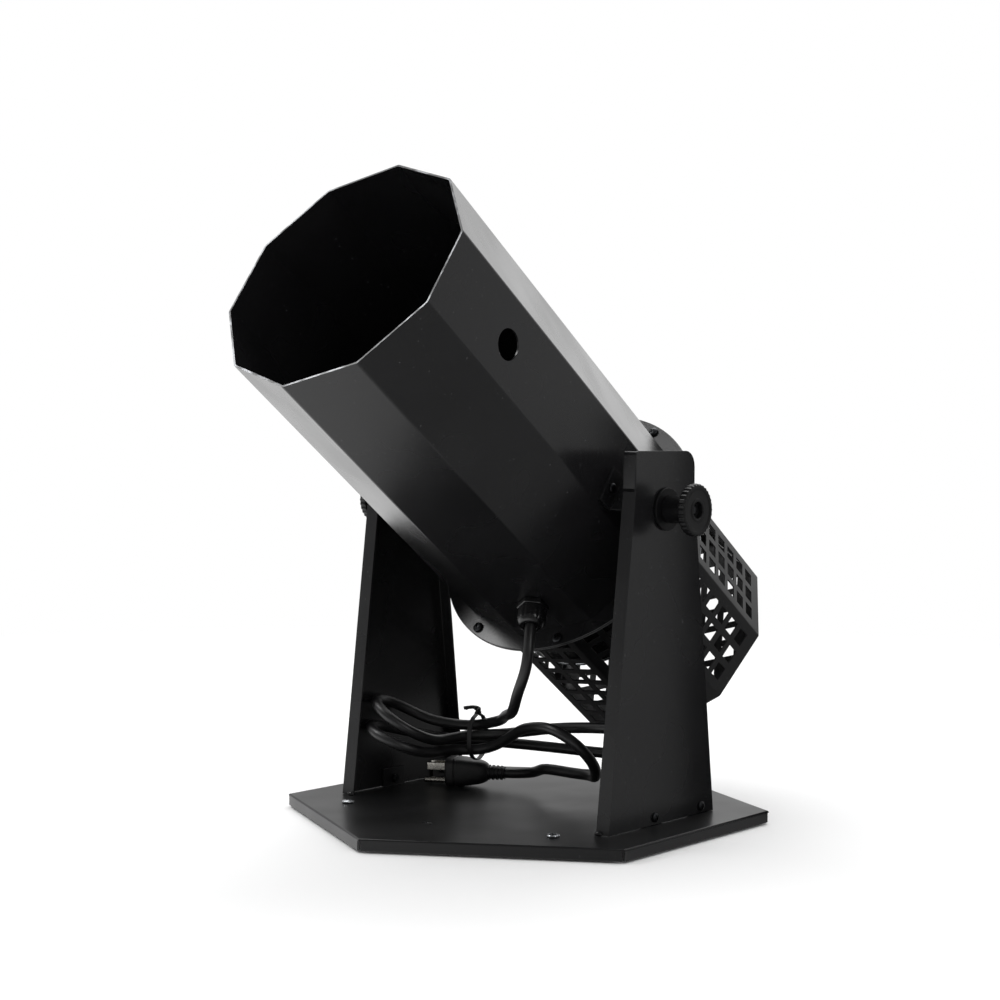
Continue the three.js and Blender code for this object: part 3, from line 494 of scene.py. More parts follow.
def turned(profile, count, matrix=None, wave=None):
    """A mesh turned about Z, from (radius, height) points that meet or that start and end on the axis"""
    bm = bmesh.new()
    rings = []
    for radius, height in profile:
        if radius == 0:
            rings.append([bm.verts.new((0, 0, height))])
            continue
        ring = []
        for k in range(count):
            a = 2 * math.pi * k / count
            r = radius + (wave(radius, height, a) if wave else 0)
            ring.append(bm.verts.new((r * math.cos(a), r * math.sin(a), height)))
        rings.append(ring)
    on_axis = profile[0][0] == 0 and profile[-1][0] == 0
    for low, high in list(zip(rings, rings[1:])) + ([] if on_axis else [(rings[-1], rings[0])]):
        for k in range(count):
            n = (k + 1) % count
            if len(low) == 1:
                bm.faces.new((low[0], high[n], high[k]))
            elif len(high) == 1:
                bm.faces.new((low[k], low[n], high[0]))
            else:
                bm.faces.new((low[k], low[n], high[n], high[k]))
    if matrix:
        bmesh.ops.transform(bm, matrix=matrix, verts=bm.verts[:])
    outward_faces(bm)
    return bm


def turned_piece(name, profile, count, matrix, material, wave=None, edge=None, smooth_angle=35):
    bm = turned(profile, count, matrix, wave)
    if edge:
        rounded(bm, sharp_edges(bm), edge, 3)
    return solid_piece(name, bm, material, smooth_angle)


def in_metres(profile):
    return [(radius * MM, height * MM) for radius, height in profile]


# Geometry Nodes


def new_tree(name, kinds):
    """A geometry tree whose inputs are given as the names of each kind, and those inputs as fields"""
    tree = bpy.data.node_groups.new(name, "GeometryNodeTree")
    tree.interface.new_socket("Geometry", in_out="INPUT", socket_type="NodeSocketGeometry")
    identifiers = {}
    for kind, labels in kinds.items():
        for label in labels:
            socket = tree.interface.new_socket(label, in_out="INPUT", socket_type="NodeSocket" + kind)
            identifiers[label] = socket.identifier
    tree.interface.new_socket("Geometry", in_out="OUTPUT", socket_type="NodeSocketGeometry")
    start = add_node(tree, "NodeGroupInput")
    given = {label: start.beside(label) for label in ("Geometry", *identifiers)}
    return tree, identifiers, given


def close_tree(tree, given, source):
    """Ends a tree in Realize Instances and Set Material"""
    real = add_node(tree, "GeometryNodeRealizeInstances", {"Geometry": source})
    painted = add_node(tree, "GeometryNodeSetMaterial", {"Geometry": real, "Material": given["Finish"]})
    add_node(tree, "NodeGroupOutput", {0: painted})


def run_tree(name, tree, identifiers, values, mesh=None):
    """A plain object made by a tree whose inputs are set by their identifiers"""
    piece = link(name, mesh or bpy.data.meshes.new(name))
    modifier = piece.modifiers.new("shape", "NODES")
    modifier.node_group = tree
    for label, value in values.items():
        modifier[identifiers[label]] = value
    piece.update_tag()
    bpy.context.view_layer.update()
    return plain_mesh(piece)


def copies_tree():
    """Sets a pattern object on every point, turned by the point's own angles"""
    tree, identifiers, given = new_tree(
        "copies at places", {"Object": ["Pattern"], "Float": ["Scale"], "Material": ["Finish"]}
    )
    pattern = add_node(tree, "GeometryNodeObjectInfo", {"Object": given["Pattern"]}, "Geometry")
    angles = add_node(tree, "GeometryNodeInputNamedAttribute", {"Name": "turn"}, data_type="FLOAT_VECTOR")
    turn = add_node(tree, "FunctionNodeEulerToRotation", {0: angles})
    placing = {"Points": given["Geometry"], "Instance": pattern, "Rotation": turn, "Scale": given["Scale"]}
    close_tree(tree, given, add_node(tree, "GeometryNodeInstanceOnPoints", placing))
    return tree, identifiers


TREES = {}


def copies(name, pattern, matrices, material, smooth_angle=35):
    """Copies of a pattern object at the given matrices, as one plain mesh"""
    if "copies" not in TREES:
        TREES["copies"] = copies_tree()
    tree, identifiers = TREES["copies"]
    mesh = bpy.data.meshes.new(name)
    mesh.from_pydata([m.translation for m in matrices], [], [])
    turn = mesh.attributes.new("turn", "FLOAT_VECTOR", "POINT")
    for item, m in zip(turn.data, matrices):
        item.vector = m.to_euler()
    values = {"Pattern": pattern, "Scale": 1.0, "Finish": material}
    piece = run_tree(name, tree, identifiers, values, mesh)
    bpy.data.objects.remove(pattern)
    piece.data.set_sharp_from_angle(angle=math.radians(smooth_angle))
    return piece


def perforated_tree():
    """A many-sided tube of sheet, each flat punched with rows of square holes, made along X"""
    tree, identifiers, given = new_tree(
        "perforated tube",
        {
            "Int": ["Columns", "Rows", "Flats"],
            "Float": ["Pitch", "Hole", "Front Margin", "Rear Margin", "Corner", "Sheet", "Turn"],
            "Material": ["Finish"],
        },
    )
    columns, rows, pitch, sheet = (given[label] for label in ("Columns", "Rows", "Pitch", "Sheet"))
    half_angle = math.pi / given["Flats"]
    half_width = given["Corner"] * add_node(tree, "ShaderNodeMath", {0: half_angle}, operation="SINE")
    apothem = given["Corner"] * add_node(tree, "ShaderNodeMath", {0: half_angle}, operation="COSINE")
    mitre = sheet * add_node(tree, "ShaderNodeMath", {0: half_angle}, operation="TANGENT")
    half_inner = half_width - mitre
    half_length = columns * pitch * 0.5
    half_rows = rows * pitch * 0.5
    x = add_node(tree, "ShaderNodeSeparateXYZ", {0: add_node(tree, "GeometryNodeInputPosition")})
    y, z = x.beside(1), x.beside(2)

    def clamped(value, low, high):
        lower = add_node(tree, "ShaderNodeMath", {0: value, 1: high}, operation="MINIMUM")
        return add_node(tree, "ShaderNodeMath", {0: lower, 1: low}, operation="MAXIMUM")

    # One flat: a grid of whole holes, its outermost lines pulled in to the flat's own edges
    counts = {"Vertices X": columns + 3, "Vertices Y": rows + 3}
    spans = {"Size X": (columns + 2) * pitch, "Size Y": (rows + 2) * pitch}
    grid = add_node(tree, "GeometryNodeMeshGrid", {**spans, **counts})
    front, rear = -(half_length + given["Front Margin"]), half_length + given["Rear Margin"]
    edges = {0: clamped(x, front, rear), 1: clamped(y, -half_inner, half_inner), 2: -sheet}
    placing = {"Geometry": grid, "Position": add_node(tree, "ShaderNodeCombineXYZ", edges)}
    flat = add_node(tree, "GeometryNodeSetPosition", placing)

    # The holes: each inner cell is inset, shrunk to the hole's width and taken out
    cells = (abs(x) < half_length) * (abs(y) < half_rows)
    insetting = {"Mesh": flat, "Selection": cells, "Offset Scale": 0, "Individual": True}
    inset = add_node(tree, "GeometryNodeExtrudeMesh", insetting, "Mesh", mode="FACES")
    top = inset.beside("Top")
    shrinking = {"Geometry": inset, "Selection": top, "Scale": given["Hole"] / pitch}
    punching = {"Geometry": add_node(tree, "GeometryNodeScaleElements", shrinking), "Selection": top}
    punched = add_node(tree, "GeometryNodeDeleteGeometry", punching, domain="FACE")
    thickening = {"Mesh": punched, "Offset Scale": sheet, "Individual": False}
    thick = add_node(tree, "GeometryNodeExtrudeMesh", thickening, "Mesh", mode="FACES")
    under = add_node(tree, "GeometryNodeFlipFaces", {0: punched})
    both = add_node(tree, "GeometryNodeJoinGeometry", {0: [under, thick]})

    # The outer face is wider than the inner one, so that neighbours meet in a mitre
    at_edge = abs(y) > half_inner - MERGE_DISTANCE
    outside = z > sheet * -0.5
    side = add_node(tree, "ShaderNodeMath", {0: y}, operation="SIGN")
    widening = {1: at_edge * outside * mitre * side}
    shifting = {"Geometry": both, "Offset": add_node(tree, "ShaderNodeCombineXYZ", widening)}
    mitred = add_node(tree, "GeometryNodeSetPosition", shifting)

    # Faces that neighbours would share inside the fold go
    normal = add_node(tree, "ShaderNodeSeparateXYZ", {0: add_node(tree, "GeometryNodeInputNormal")})
    shared = (abs(normal.beside(1)) > 0.9) * (abs(y) > half_inner - MM)
    trimming = {"Geometry": mitred, "Selection": shared}
    trimmed = add_node(tree, "GeometryNodeDeleteGeometry", trimming, domain="FACE")

    lift = add_node(tree, "ShaderNodeCombineXYZ", {2: apothem})
    lifting = {"Geometry": trimmed, "Translation": lift}
    raised = add_node(tree, "GeometryNodeTransform", lifting)
    points = add_node(tree, "GeometryNodePoints", {"Count": given["Flats"]})
    angle = add_node(tree, "GeometryNodeInputIndex") * 2 * half_angle + given["Turn"]
    angles = add_node(tree, "ShaderNodeCombineXYZ", {0: angle})
    turn = add_node(tree, "FunctionNodeEulerToRotation", {0: angles})
    folding = {"Points": points, "Instance": raised, "Rotation": turn}
    around = add_node(tree, "GeometryNodeInstanceOnPoints", folding)
    real = add_node(tree, "GeometryNodeRealizeInstances", {"Geometry": around})
    merging = {"Geometry": real, "Distance": MERGE_DISTANCE}
    close_tree(tree, given, add_node(tree, "GeometryNodeMergeByDistance", merging))
    return tree, identifiers


WIRE_SIDES = 10
HOOP_STEPS = 72


def wire_tree():
    """Round wire hoops about Z at evenly stepped radii, and spokes across them"""
    tree, identifiers, given = new_tree(
        "wire hoops",
        {
            "Int": ["Hoops", "Spokes"],
            "Float": ["First Radius", "Step", "Hub Radius", "Wire"],
            "Material": ["Finish"],
        },
    )
    circle = "GeometryNodeCurvePrimitiveCircle"
    section = add_node(tree, circle, {"Radius": given["Wire"] * 0.5, "Resolution": WIRE_SIDES})
    unit = add_node(tree, circle, {"Radius": 1, "Resolution": HOOP_STEPS})
    index = add_node(tree, "GeometryNodeInputIndex")
    first, step = given["First Radius"], given["Step"]
    hoop_points = add_node(tree, "GeometryNodePoints", {"Count": given["Hoops"]})
    growing = {"Points": hoop_points, "Instance": unit, "Scale": first + index * step}
    hoops = add_node(tree, "GeometryNodeInstanceOnPoints", growing)
    last = first + (given["Hoops"] - 1) * step
    start = add_node(tree, "ShaderNodeCombineXYZ", {0: given["Hub Radius"]})
    end = add_node(tree, "ShaderNodeCombineXYZ", {0: last})
    spoke = add_node(tree, "GeometryNodeCurvePrimitiveLine", {"Start": start, "End": end})
    spoke_points = add_node(tree, "GeometryNodePoints", {"Count": given["Spokes"]})
    angle = (index + 0.5) * (2 * math.pi / given["Spokes"])
    angles = add_node(tree, "ShaderNodeCombineXYZ", {2: angle})
    turn = add_node(tree, "FunctionNodeEulerToRotation", {0: angles})
    spreading = {"Points": spoke_points, "Instance": spoke, "Rotation": turn}
    spokes = add_node(tree, "GeometryNodeInstanceOnPoints", spreading)
    lines = add_node(tree, "GeometryNodeJoinGeometry", {0: [hoops, spokes]})
    real = add_node(tree, "GeometryNodeRealizeInstances", {"Geometry": lines})
    wiring = {"Curve": real, "Profile Curve": section, "Fill Caps": True}
    close_tree(tree, given, add_node(tree, "GeometryNodeCurveToMesh", wiring))
    return tree, identifiers


# Studio

CAMERA_AT = Vector((0.99926, -1.25196, 0.30802))
CAMERA_YAW = math.radians(39.04)
CAMERA_PITCH = math.radians(-1.89)
CAMERA_ROLL = math.radians(0.39)
CAMERA_LENS = 72.17
RIGHTWARDS = (math.cos(CAMERA_YAW), math.sin(CAMERA_YAW), 0)
AWAY = (-math.sin(CAMERA_YAW), math.cos(CAMERA_YAW), 0)
SENSOR_WIDTH = 36
FLOOR_RADIUS = 9
FLOOR_GAP = 0.2 * MM
# A black card beside the right upright, seen only in reflections: its left, right, Y and top in millimetres
FLAG = (145, 212, 150, 330)
LAMPS_AIM = Vector((0, 0, 0.2))
# Each lamp: its name, place, width, height and power
LAMPS = (
    ("soft_top", (-0.6, 0.9, 2.3), 2.2, 1.6, 34),
    ("soft_left", (-1.5, -0.95, 2.0), 0.7, 0.7, 16),
    ("soft_right", (2.2, -0.5, 1.5), 0.9, 1.2, 9),
)


def camera_matrix():
    yaw, pitch, roll = CAMERA_YAW, CAMERA_PITCH, CAMERA_ROLL
    forward = Vector((-math.sin(yaw) * math.cos(pitch), math.cos(yaw) * math.cos(pitch), math.sin(pitch)))
    right = Vector((math.cos(yaw), math.sin(yaw), 0))
    up = right.cross(forward)
    turned_right = right * math.cos(roll) + up * math.sin(roll)
    turned_up = up * math.cos(roll) - right * math.sin(roll)
    columns = (turned_right, turned_up, -forward)
    matrix = Matrix([[column[row] for column in columns] for row in range(3)]).to_4x4()
    matrix.translation = CAMERA_AT
    return matrix


def add_lamp(name, at, width, height, power):
    data = bpy.data.lights.new(name, "AREA")
    data.shape = "RECTANGLE"
    data.size = width
    data.size_y = height
    data.energy = power
    lamp = bpy.data.objects.new(name, data)
    lamp.location = at
    lamp.rotation_euler = (LAMPS_AIM - Vector(at)).to_track_quat("-Z", "Y").to_euler()
    lamp.visible_camera = False
    bpy.context.scene.collection.objects.link(lamp)


def floor_material():
    """White studio paper: dead flat, with the object's soft shadow, paling out to the white background.
    What glossy surfaces see of it is a glow, painted brighter to the left and dimmer to the right, as a flag
    beside the object would make it."""
    material, place = new_material("studio_paper")
    tree = place.tree
    flat = {"Base Color": scaled(colours().floor), "Roughness": 0.9, "Specular IOR Level": 0.1}
    paper = add_node(tree, "ShaderNodeBsdfPrincipled", flat)
    distance = add_node(tree, "ShaderNodeVectorMath", {0: place}, "Value", operation="LENGTH")
    fading = {"From Min": 0.55, "From Max": 1.6, "To Min": 0, "To Max": 1}
    far = add_node(tree, "ShaderNodeMapRange", {"Value": distance, **fading})
    glossy = add_node(tree, "ShaderNodeLightPath", key="Is Glossy Ray")
    straight = {0: glossy.beside("Is Camera Ray"), 1: glossy.beside("Is Transmission Ray")}
    direct = add_node(tree, "ShaderNodeMath", straight, operation="MAXIMUM")
    seen = add_node(tree, "ShaderNodeMath", {0: far * direct, 1: glossy}, operation="MAXIMUM")
    # For glossy rays the paper glows: a painted reflection, brighter to the left and fading to the right
    rightwards = {0: place, 1: RIGHTWARDS}
    right = add_node(tree, "ShaderNodeVectorMath", rightwards, "Value", operation="DOT_PRODUCT")
    falling = {"From Min": -0.4, "From Max": 0.12, "To Min": 1.6, "To Max": 0.36}
    side = add_node(tree, "ShaderNodeMapRange", {"Value": right, **falling})
    level = glossy * side + (1 - glossy)
    white = add_node(tree, "ShaderNodeEmission", {"Strength": level, "Color": WHITE})
    blend = add_node(tree, "ShaderNodeMixShader", {0: seen, 1: paper, 2: white})
    add_node(tree, "ShaderNodeOutputMaterial", {"Surface": blend})
    return material


def studio_world():
    """White for the camera. Reflections see a plain room with a bright panel low behind the object."""
    world = bpy.data.worlds.new("studio")
    world.use_nodes = True
    tree = world.node_tree
    tree.nodes.clear()
    direction = add_node(tree, "ShaderNodeTexCoord", key="Object")
    height = add_node(tree, "ShaderNodeSeparateXYZ", {0: direction}, 2)
    away, right = (
        add_node(tree, "ShaderNodeVectorMath", {0: direction, 1: way}, "Value", operation="DOT_PRODUCT")
        for way in (AWAY, RIGHTWARDS)
    )
    # The room's light and the panel's own, with the panel's soft left, right and near edges
    room, panel, left_edge, right_edge, near_edge = (
        add_node(
            tree,
            "ShaderNodeMapRange",
            {"Value": source, "From Min": start, "From Max": end, "To Min": low, "To Max": high},
        )
        for source, start, end, low, high in (
            (away, -0.3, 0.2, 0.2, 0.62),
            (height, 0, 0.14, 0, 1.15),
            (right, 0.05, 0.35, 0, 1),
            (right, 0.58, 0.78, 1, 0),
            (away, 0.2, 0.6, 0, 1),
        )
    )
    glossy = add_node(tree, "ShaderNodeLightPath", key="Is Glossy Ray")
    mirrored = {0: glossy, 1: glossy.beside("Is Transmission Ray")}
    reflected = add_node(tree, "ShaderNodeMath", mirrored, operation="MAXIMUM")
    lit = room + panel * left_edge * right_edge * near_edge
    level = reflected * lit + (1 - reflected) * 0.8
    shown = {0: level, 1: glossy.beside("Is Camera Ray")}
    seen = add_node(tree, "ShaderNodeMath", shown, operation="MAXIMUM")
    background = add_node(tree, "ShaderNodeBackground", {"Strength": seen, "Color": WHITE})
    add_node(tree, "ShaderNodeOutputWorld", {"Surface": background})
    bpy.context.scene.world = world


class BLOWER_OT_stage(bpy.types.Operator):
    """Sets up the camera, the floor, the lamps and the background"""

    bl_idname = "blower.stage"
    bl_label = "Stage"

    def execute(self, context):
        scene = context.scene
        data = bpy.data.cameras.new("camera")
        data.lens = CAMERA_LENS
        data.sensor_width = SENSOR_WIDTH
        data.dof.use_dof = False
        camera = bpy.data.objects.new("camera", data)
        camera.matrix_world = camera_matrix()
        scene.collection.objects.link(camera)
        scene.camera = camera
        scene.view_settings.view_transform = "Standard"

        bm = bmesh.new()
        bmesh.ops.create_circle(bm, cap_ends=True, segments=96, radius=FLOOR_RADIUS)
        floor = link("floor", mesh_of("floor", bm))
        floor.data.materials.append(floor_material())
        floor.location.z = CAD_BOX[0][2] - FLOOR_GAP

        left, right, y, top = (v * MM for v in FLAG)
        corners = [(left, y, 0), (right, y, 0), (right, y, top), (left, y, top)]
        flag = link("flag", bpy.data.meshes.new("flag"))
        flag.data.from_pydata(corners, [], [(0, 1, 2, 3)])
        flag.data.materials.append(close_material(new_material("black_flag")[0], BLACK, 1))
        for ray in ("camera", "diffuse", "transmission", "shadow"):
            setattr(flag, "visible_" + ray, False)
        for lamp in LAMPS:
            add_lamp(*lamp)
        studio_world()
        return {"FINISHED"}


# Lead

LEAD_SPACING = 2.5 * MM
LEAD_SIDES = 16
LEAD_SMOOTHING = 5
WAIST = Vector((-66, 20, 52.4))
RUN = Vector((0.97, 0.24, 0)).normalized()
SPLINE_STEPS = 40
UV_PER_METRE = 10
ENTRY = Vector((0.9433, -0.2193, 0.2491)).normalized()
ENTRY_LENGTH = 22.5
STAGGER = 5.2
RISE = 6.6
LEAD_IN = 35
SLOT_FADE = 0.6
FOLD_SHARE = 1.06
FOLD_ANGLES = (10, 50, 90, 130, 170)
LOBE_SHARES = ((0.235, 0.16), (0.565, 0.62), (0.75, 0.955))
# Each lobe: its tip, the way out to its side, and how far its middle line sways
LOBES = (
    ((-112.7, -52.9, 82.4), (-23.4, 13.1, 9.4), (6.8, -8.2, 1.3)),
    ((124.1, 23.9, 66.9), (-7.2, -30.8, 14.1), (-16.7, 26.9, -4)),
    ((-104.6, -61, 60), (-25.8, 3.5, 8), (-2.7, -17.2, -5.5)),
    ((65.9, -7.3, 57), (-11.5, -16, 21), (1.2, 7.6, -11)),
)
TAIL = ((48.7, 27, 33), (27, 33.3, 30.5), (-13.1, 36.8, 31.6), (-19.8, 45.3, 24.9))
FREE_ROUTE = (
    (42.3, -49.4, 138.8), (41.6, -52, 121.1), (32.9, -52.3, 104.7), (19.1, -39, 85.6), (-18.7, -1.2, 79),
)
FIT_GAP = 0.3
STRAIGHT_END = 8.8
GLAND_ALONG = 297
GLAND_ANGLE = math.radians(-72)
GLAND_ENTRY = 3
GLAND_LENGTH = 21.1
BARREL_FLAT = 103 * math.cos(HALF_STEP)
PLUG_AT = Vector((-82, 26, 21.63))
PLUG_YAW = math.radians(206)
PLUG_LENGTH = 34
PLUG_NECK = 16


def smooth_line(places):
    """Points close together on the smooth line that runs near its places and through its end ones"""
    first = places[0] * 2 - places[1]
    last = places[-1] * 2 - places[-2]
    knots = [first, *places, last]
    points = []
    for span in range(len(places) - 1):
        for step in range(SPLINE_STEPS):
            w = step / SPLINE_STEPS
            weights = ((1 - w) ** 3, 3 * w**3 - 6 * w**2 + 4, -3 * w**3 + 3 * w**2 + 3 * w + 1, w**3)
            near = (knots[span + k] * (weight / 6) for k, weight in enumerate(weights))
            points.append(sum(near, Vector()))
    points.append(places[-1].copy())
    return points


def evenly(points, spacing):
    """The same line at even steps"""
    lengths = [0.0]
    for a, b in zip(points, points[1:]):
        lengths.append(lengths[-1] + (b - a).length)
    count = max(2, round(lengths[-1] / spacing))
    result, k = [], 0
    for i in range(count + 1):
        goal = lengths[-1] * i / count
        while k < len(points) - 2 and lengths[k + 1] < goal:
            k += 1
        part = (goal - lengths[k]) / max(lengths[k + 1] - lengths[k], 1e-12)
        result.append(points[k].lerp(points[k + 1], part))
    return result


def slot_at(index):
    side = 1 if index % 2 else -1
    return Vector((RUN.y, -RUN.x, 0)) * (side * STAGGER) + Vector((0, 0, (1.5 - index) * RISE))


def lobe_places(lobe, side, start, end):
    tip, out, sway = (Vector(v) for v in lobe)
    bend = WAIST + RUN * (side * LEAD_IN) + sway
    ahead = (tip - bend).normalized()
    centre = tip - ahead * out.length

    def place(t, across, slot):
        middle = WAIST * (1 - t) ** 2 + bend * (2 * t * (1 - t)) + centre * t**2
        return middle + out * across + slot * max(0, 1 - t / SLOT_FADE)

    fold = [
        centre
        + out * (FOLD_SHARE * math.cos(math.radians(a)))
        + ahead * (FOLD_SHARE * out.length * math.sin(math.radians(a)))
        for a in FOLD_ANGLES
    ]
    going = [place(t, across, start) for t, across in LOBE_SHARES]
    coming = [place(t, -across, end) for t, across in reversed(LOBE_SHARES)]
    return [*going, *fold, *coming]


def plug_direction():
    return Vector((-math.cos(PLUG_YAW), -math.sin(PLUG_YAW), 0))


def lead_places():
    """Places of the free stretch and of the hank, in the stand's frame, in millimetres"""
    hank_start = WAIST + slot_at(0) + ENTRY * ENTRY_LENGTH
    normal = Vector((math.cos(GLAND_ANGLE), 0, math.sin(GLAND_ANGLE)))
    in_head = Vector((0, GLAND_ALONG - PIVOT_ALONG / MM, AXIS_ABOVE_PIVOT / MM))
    in_head += normal * (BARREL_FLAT + GLAND_LENGTH - GLAND_ENTRY)
    turn = Matrix.Rotation(-REST_ELEVATION, 3, "X")
    start = turn @ in_head + Vector((0, 0, PIVOT_HEIGHT / MM))
    direction = turn @ normal
    free_end = hank_start + ENTRY * FIT_GAP
    free = [
        start,
        start + direction * (GLAND_ENTRY + STRAIGHT_END),
        *(Vector(p) for p in FREE_ROUTE),
        free_end + ENTRY * STRAIGHT_END,
        free_end,
    ]
    hank = [hank_start, WAIST + slot_at(0)]
    last = len(LOBES) - 1
    for k, lobe in enumerate(LOBES):
        way = lobe_places(lobe, 1 if k % 2 else -1, slot_at(k), slot_at(min(k + 1, last)))
        hank += way + [WAIST + slot_at(k + 1)] if k < last else way[: -len(LOBE_SHARES)]
    end = PLUG_AT + plug_direction() * (PLUG_LENGTH / 2 + PLUG_NECK + FIT_GAP)
    hank += [Vector(p) for p in TAIL]
    hank += [end + plug_direction() * STRAIGHT_END, end]
    return free, hank


def lead_line():
    free, hank = lead_places()
    spacing = LEAD_SPACING / MM
    points = evenly(smooth_line(free), spacing) + evenly(smooth_line(hank), spacing)[1:]
    for _ in range(LEAD_SMOOTHING):
        inner = [(a + b * 2 + c) / 4 for a, b, c in zip(points, points[1:], points[2:])]
        points = [points[0], *inner, points[-1]]
    return [p * MM + STAND_AT for p in points]


def tube_mesh(name, points, radius, count):
    """A round tube along the points with a UV map: round in U, along in V, and closed ends"""
    bm = bmesh.new()
    uv = bm.loops.layers.uv.new("UVMap")
    tangents = [
        (points[min(i + 1, len(points) - 1)] - points[max(i - 1, 0)]).normalized() for i in range(len(points))
    ]
    side = tangents[0].orthogonal().normalized()
    rings, along, length = [], [], 0.0
    for i, point in enumerate(points):
        side = (side - tangents[i] * side.dot(tangents[i])).normalized()
        other = tangents[i].cross(side)
        if i:
            length += (point - points[i - 1]).length
        along.append(length)
        rings.append([
            bm.verts.new(point + (side * math.cos(a) + other * math.sin(a)) * radius)
            for a in (2 * math.pi * k / count for k in range(count))
        ])
    for i, (low, high) in enumerate(zip(rings, rings[1:])):
        for k in range(count):
            n = (k + 1) % count
            face = bm.faces.new((low[k], low[n], high[n], high[k]))
            corners = ((k, i), (k + 1, i), (k + 1, i + 1), (k, i + 1))
            for loop, (u, v) in zip(face.loops, corners):
                loop[uv].uv = (u / count, along[v] * UV_PER_METRE)
    bm.faces.new(list(reversed(rings[0])))
    bm.faces.new(rings[-1])
    mesh = mesh_of(name, bm)
    mesh.shade_smooth()
    mesh.set_sharp_from_angle(angle=math.radians(60))
    return mesh


class BLOWER_OT_lead(bpy.types.Operator):
    """Makes the mains lead from the gland through its tied hank to the plug"""

    bl_idname = "blower.lead"
    bl_label = "Lead"

    def execute(self, context):
        points = lead_line()
        mesh = tube_mesh("lead", points, sizes().lead_diameter / 2, LEAD_SIDES)
        mesh.materials.append(finish_of("lead"))
        lead = link("lead", mesh)
        length = sum((b - a).length for a, b in zip(points, points[1:]))
        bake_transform(lead)
        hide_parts("cord_free", "cord_hank")
        with_pieces = make_plug() + make_tie()
        return {"FINISHED"}


def plug_matrix():
    return Matrix.Translation(PLUG_AT * MM + STAND_AT) @ Matrix.Rotation(PLUG_YAW, 4, "Z")


# Sections of the plug's grip: place along X, half width and half height in millimetres, and squareness
PLUG_SECTIONS = (
    (17.0, 10.9, 10.4, 4.5), (16.6, 11.7, 11.2, 4.5), (15.4, 12.3, 11.9, 4.5), (11.0, 12.5, 12.1, 4.2),
    (9.6, 12.5, 12.1, 4.2), (9.2, 11.7, 11.3, 4.2), (8.0, 11.7, 11.3, 4.2), (7.6, 12.5, 12.1, 4.0),
    (2.0, 12.2, 11.9, 3.6), (-5.0, 11.4, 11.2, 3.2), (-11.0, 10.2, 10.2, 2.8), (-15.0, 9.0, 9.0, 2.4),
    (-17.6, 7.6, 7.6, 2.1),
)
PLUG_END = ((-32.8, 5.6, 5.6, 2), (-33.0, 4.9, 4.9, 2))
PLUG_SIDES = 40
PIN_EDGES = (("plug_live", 0.45 * MM), ("plug_neutral", 0.45 * MM), ("plug_earth", 1.2 * MM))
# The ribs behind the grip: how many, where the first starts, from one to the next, radius and taper
NECK_RIBS = 4
RIB_START = -18.4
RIB_PITCH = 3.6
RIB_RADIUS = 6.4
RIB_TAPER = 0.15
# Points of one rib: how far behind its start, and how far below its radius
RIB_STEPS = ((0, 0), (1.5, 0), (1.8, 1), (2.9, 1))


def make_plug():
    """The moulded plug, lofted along its own X from face to neck, and its three pins"""
    sections = list(PLUG_SECTIONS)
    for k in range(NECK_RIBS):
        start, radius = RIB_START - RIB_PITCH * k, RIB_RADIUS - RIB_TAPER * k
        sections += [(start - back, radius - down, radius - down, 2) for back, down in RIB_STEPS]
    bm = bmesh.new()
    rings = []
    for x, half_width, half_height, power in (*sections, *PLUG_END):
        ring = []
        for k in range(PLUG_SIDES):
            a = 2 * math.pi * k / PLUG_SIDES
            c, s = math.cos(a), math.sin(a)
            y = math.copysign(abs(c) ** (2 / power), c) * half_width
            z = math.copysign(abs(s) ** (2 / power), s) * half_height
            ring.append(bm.verts.new((x * MM, y * MM, z * MM)))
        rings.append(ring)
    for low, high in zip(rings, rings[1:]):
        for k in range(PLUG_SIDES):
            n = (k + 1) % PLUG_SIDES
            bm.faces.new((low[k], high[k], high[n], low[n]))
    bm.faces.new(rings[0])
    bm.faces.new(list(reversed(rings[-1])))
    bmesh.ops.transform(bm, matrix=plug_matrix(), verts=bm.verts[:])
    outward_faces(bm)
    body = solid_piece("plug_body", bm, finish_of("grip"), 40)
    settle(body, "stand", "lead_rubber", "plug")
    return [body, *(soft_copy(pin, "stand", "nickel", "nickel", edge, 3) for pin, edge in PIN_EDGES)]


TIE_EDGE = 0.3 * MM
TIE_WIRE = 1.5 * MM
TIE_SINK = 0.4 * MM
TIE_STEPS = 40
TIE_RISE = 11 * MM
TIE_REACH = 13 * MM
TIE_SWAY = 4 * MM


def make_tie():
    """The tie round the hank's waist, its two ends wound together and left curling on top"""
    band = soft_copy("cable_tie", "stand", "grip", "black_nylon", TIE_EDGE)
    low, high = (Vector(corner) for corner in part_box("cable_tie"))
    across = Vector((-RUN.y, RUN.x, 0))
    top = (low + high) / 2
    top.z = high.z - TIE_SINK
    bm = bmesh.new()
    for phase in (0, math.pi):
        line = []
        for k in range(TIE_STEPS + 1):
            t = k / TIE_STEPS
            spine = top + Vector((0, 0, TIE_RISE * t * (1.35 - t))) - RUN * (TIE_REACH * t * t)
            spine += across * (TIE_SWAY * math.sin(2.6 * t))
            turn = phase + 9 * t
            offset = RUN * math.cos(turn) + across * math.sin(turn)
            line.append(spine + offset * TIE_WIRE)
        mesh = tube_mesh("tie_end", line, TIE_WIRE, 8)
        bm.from_mesh(mesh)
        bpy.data.meshes.remove(mesh)
    tail = solid_piece("tie_tail", bm, finish_of("grip"), 60, weighted=False)
    settle(tail, "stand", "black_nylon")
    return [band, tail]


# Sheet metal


def edge_ends(edge):
    return [v.co for v in edge.verts]


UPRIGHT_FOLD_RADIUS = 3 * MM
FOOT_EDGE = 0.8 * MM
# The shortest fold of the base plate, of an upright and of the barrel
BASE_FOLD = 40 * MM
UPRIGHT_FOLD = 15 * MM
BARREL_FOLD = 100 * MM


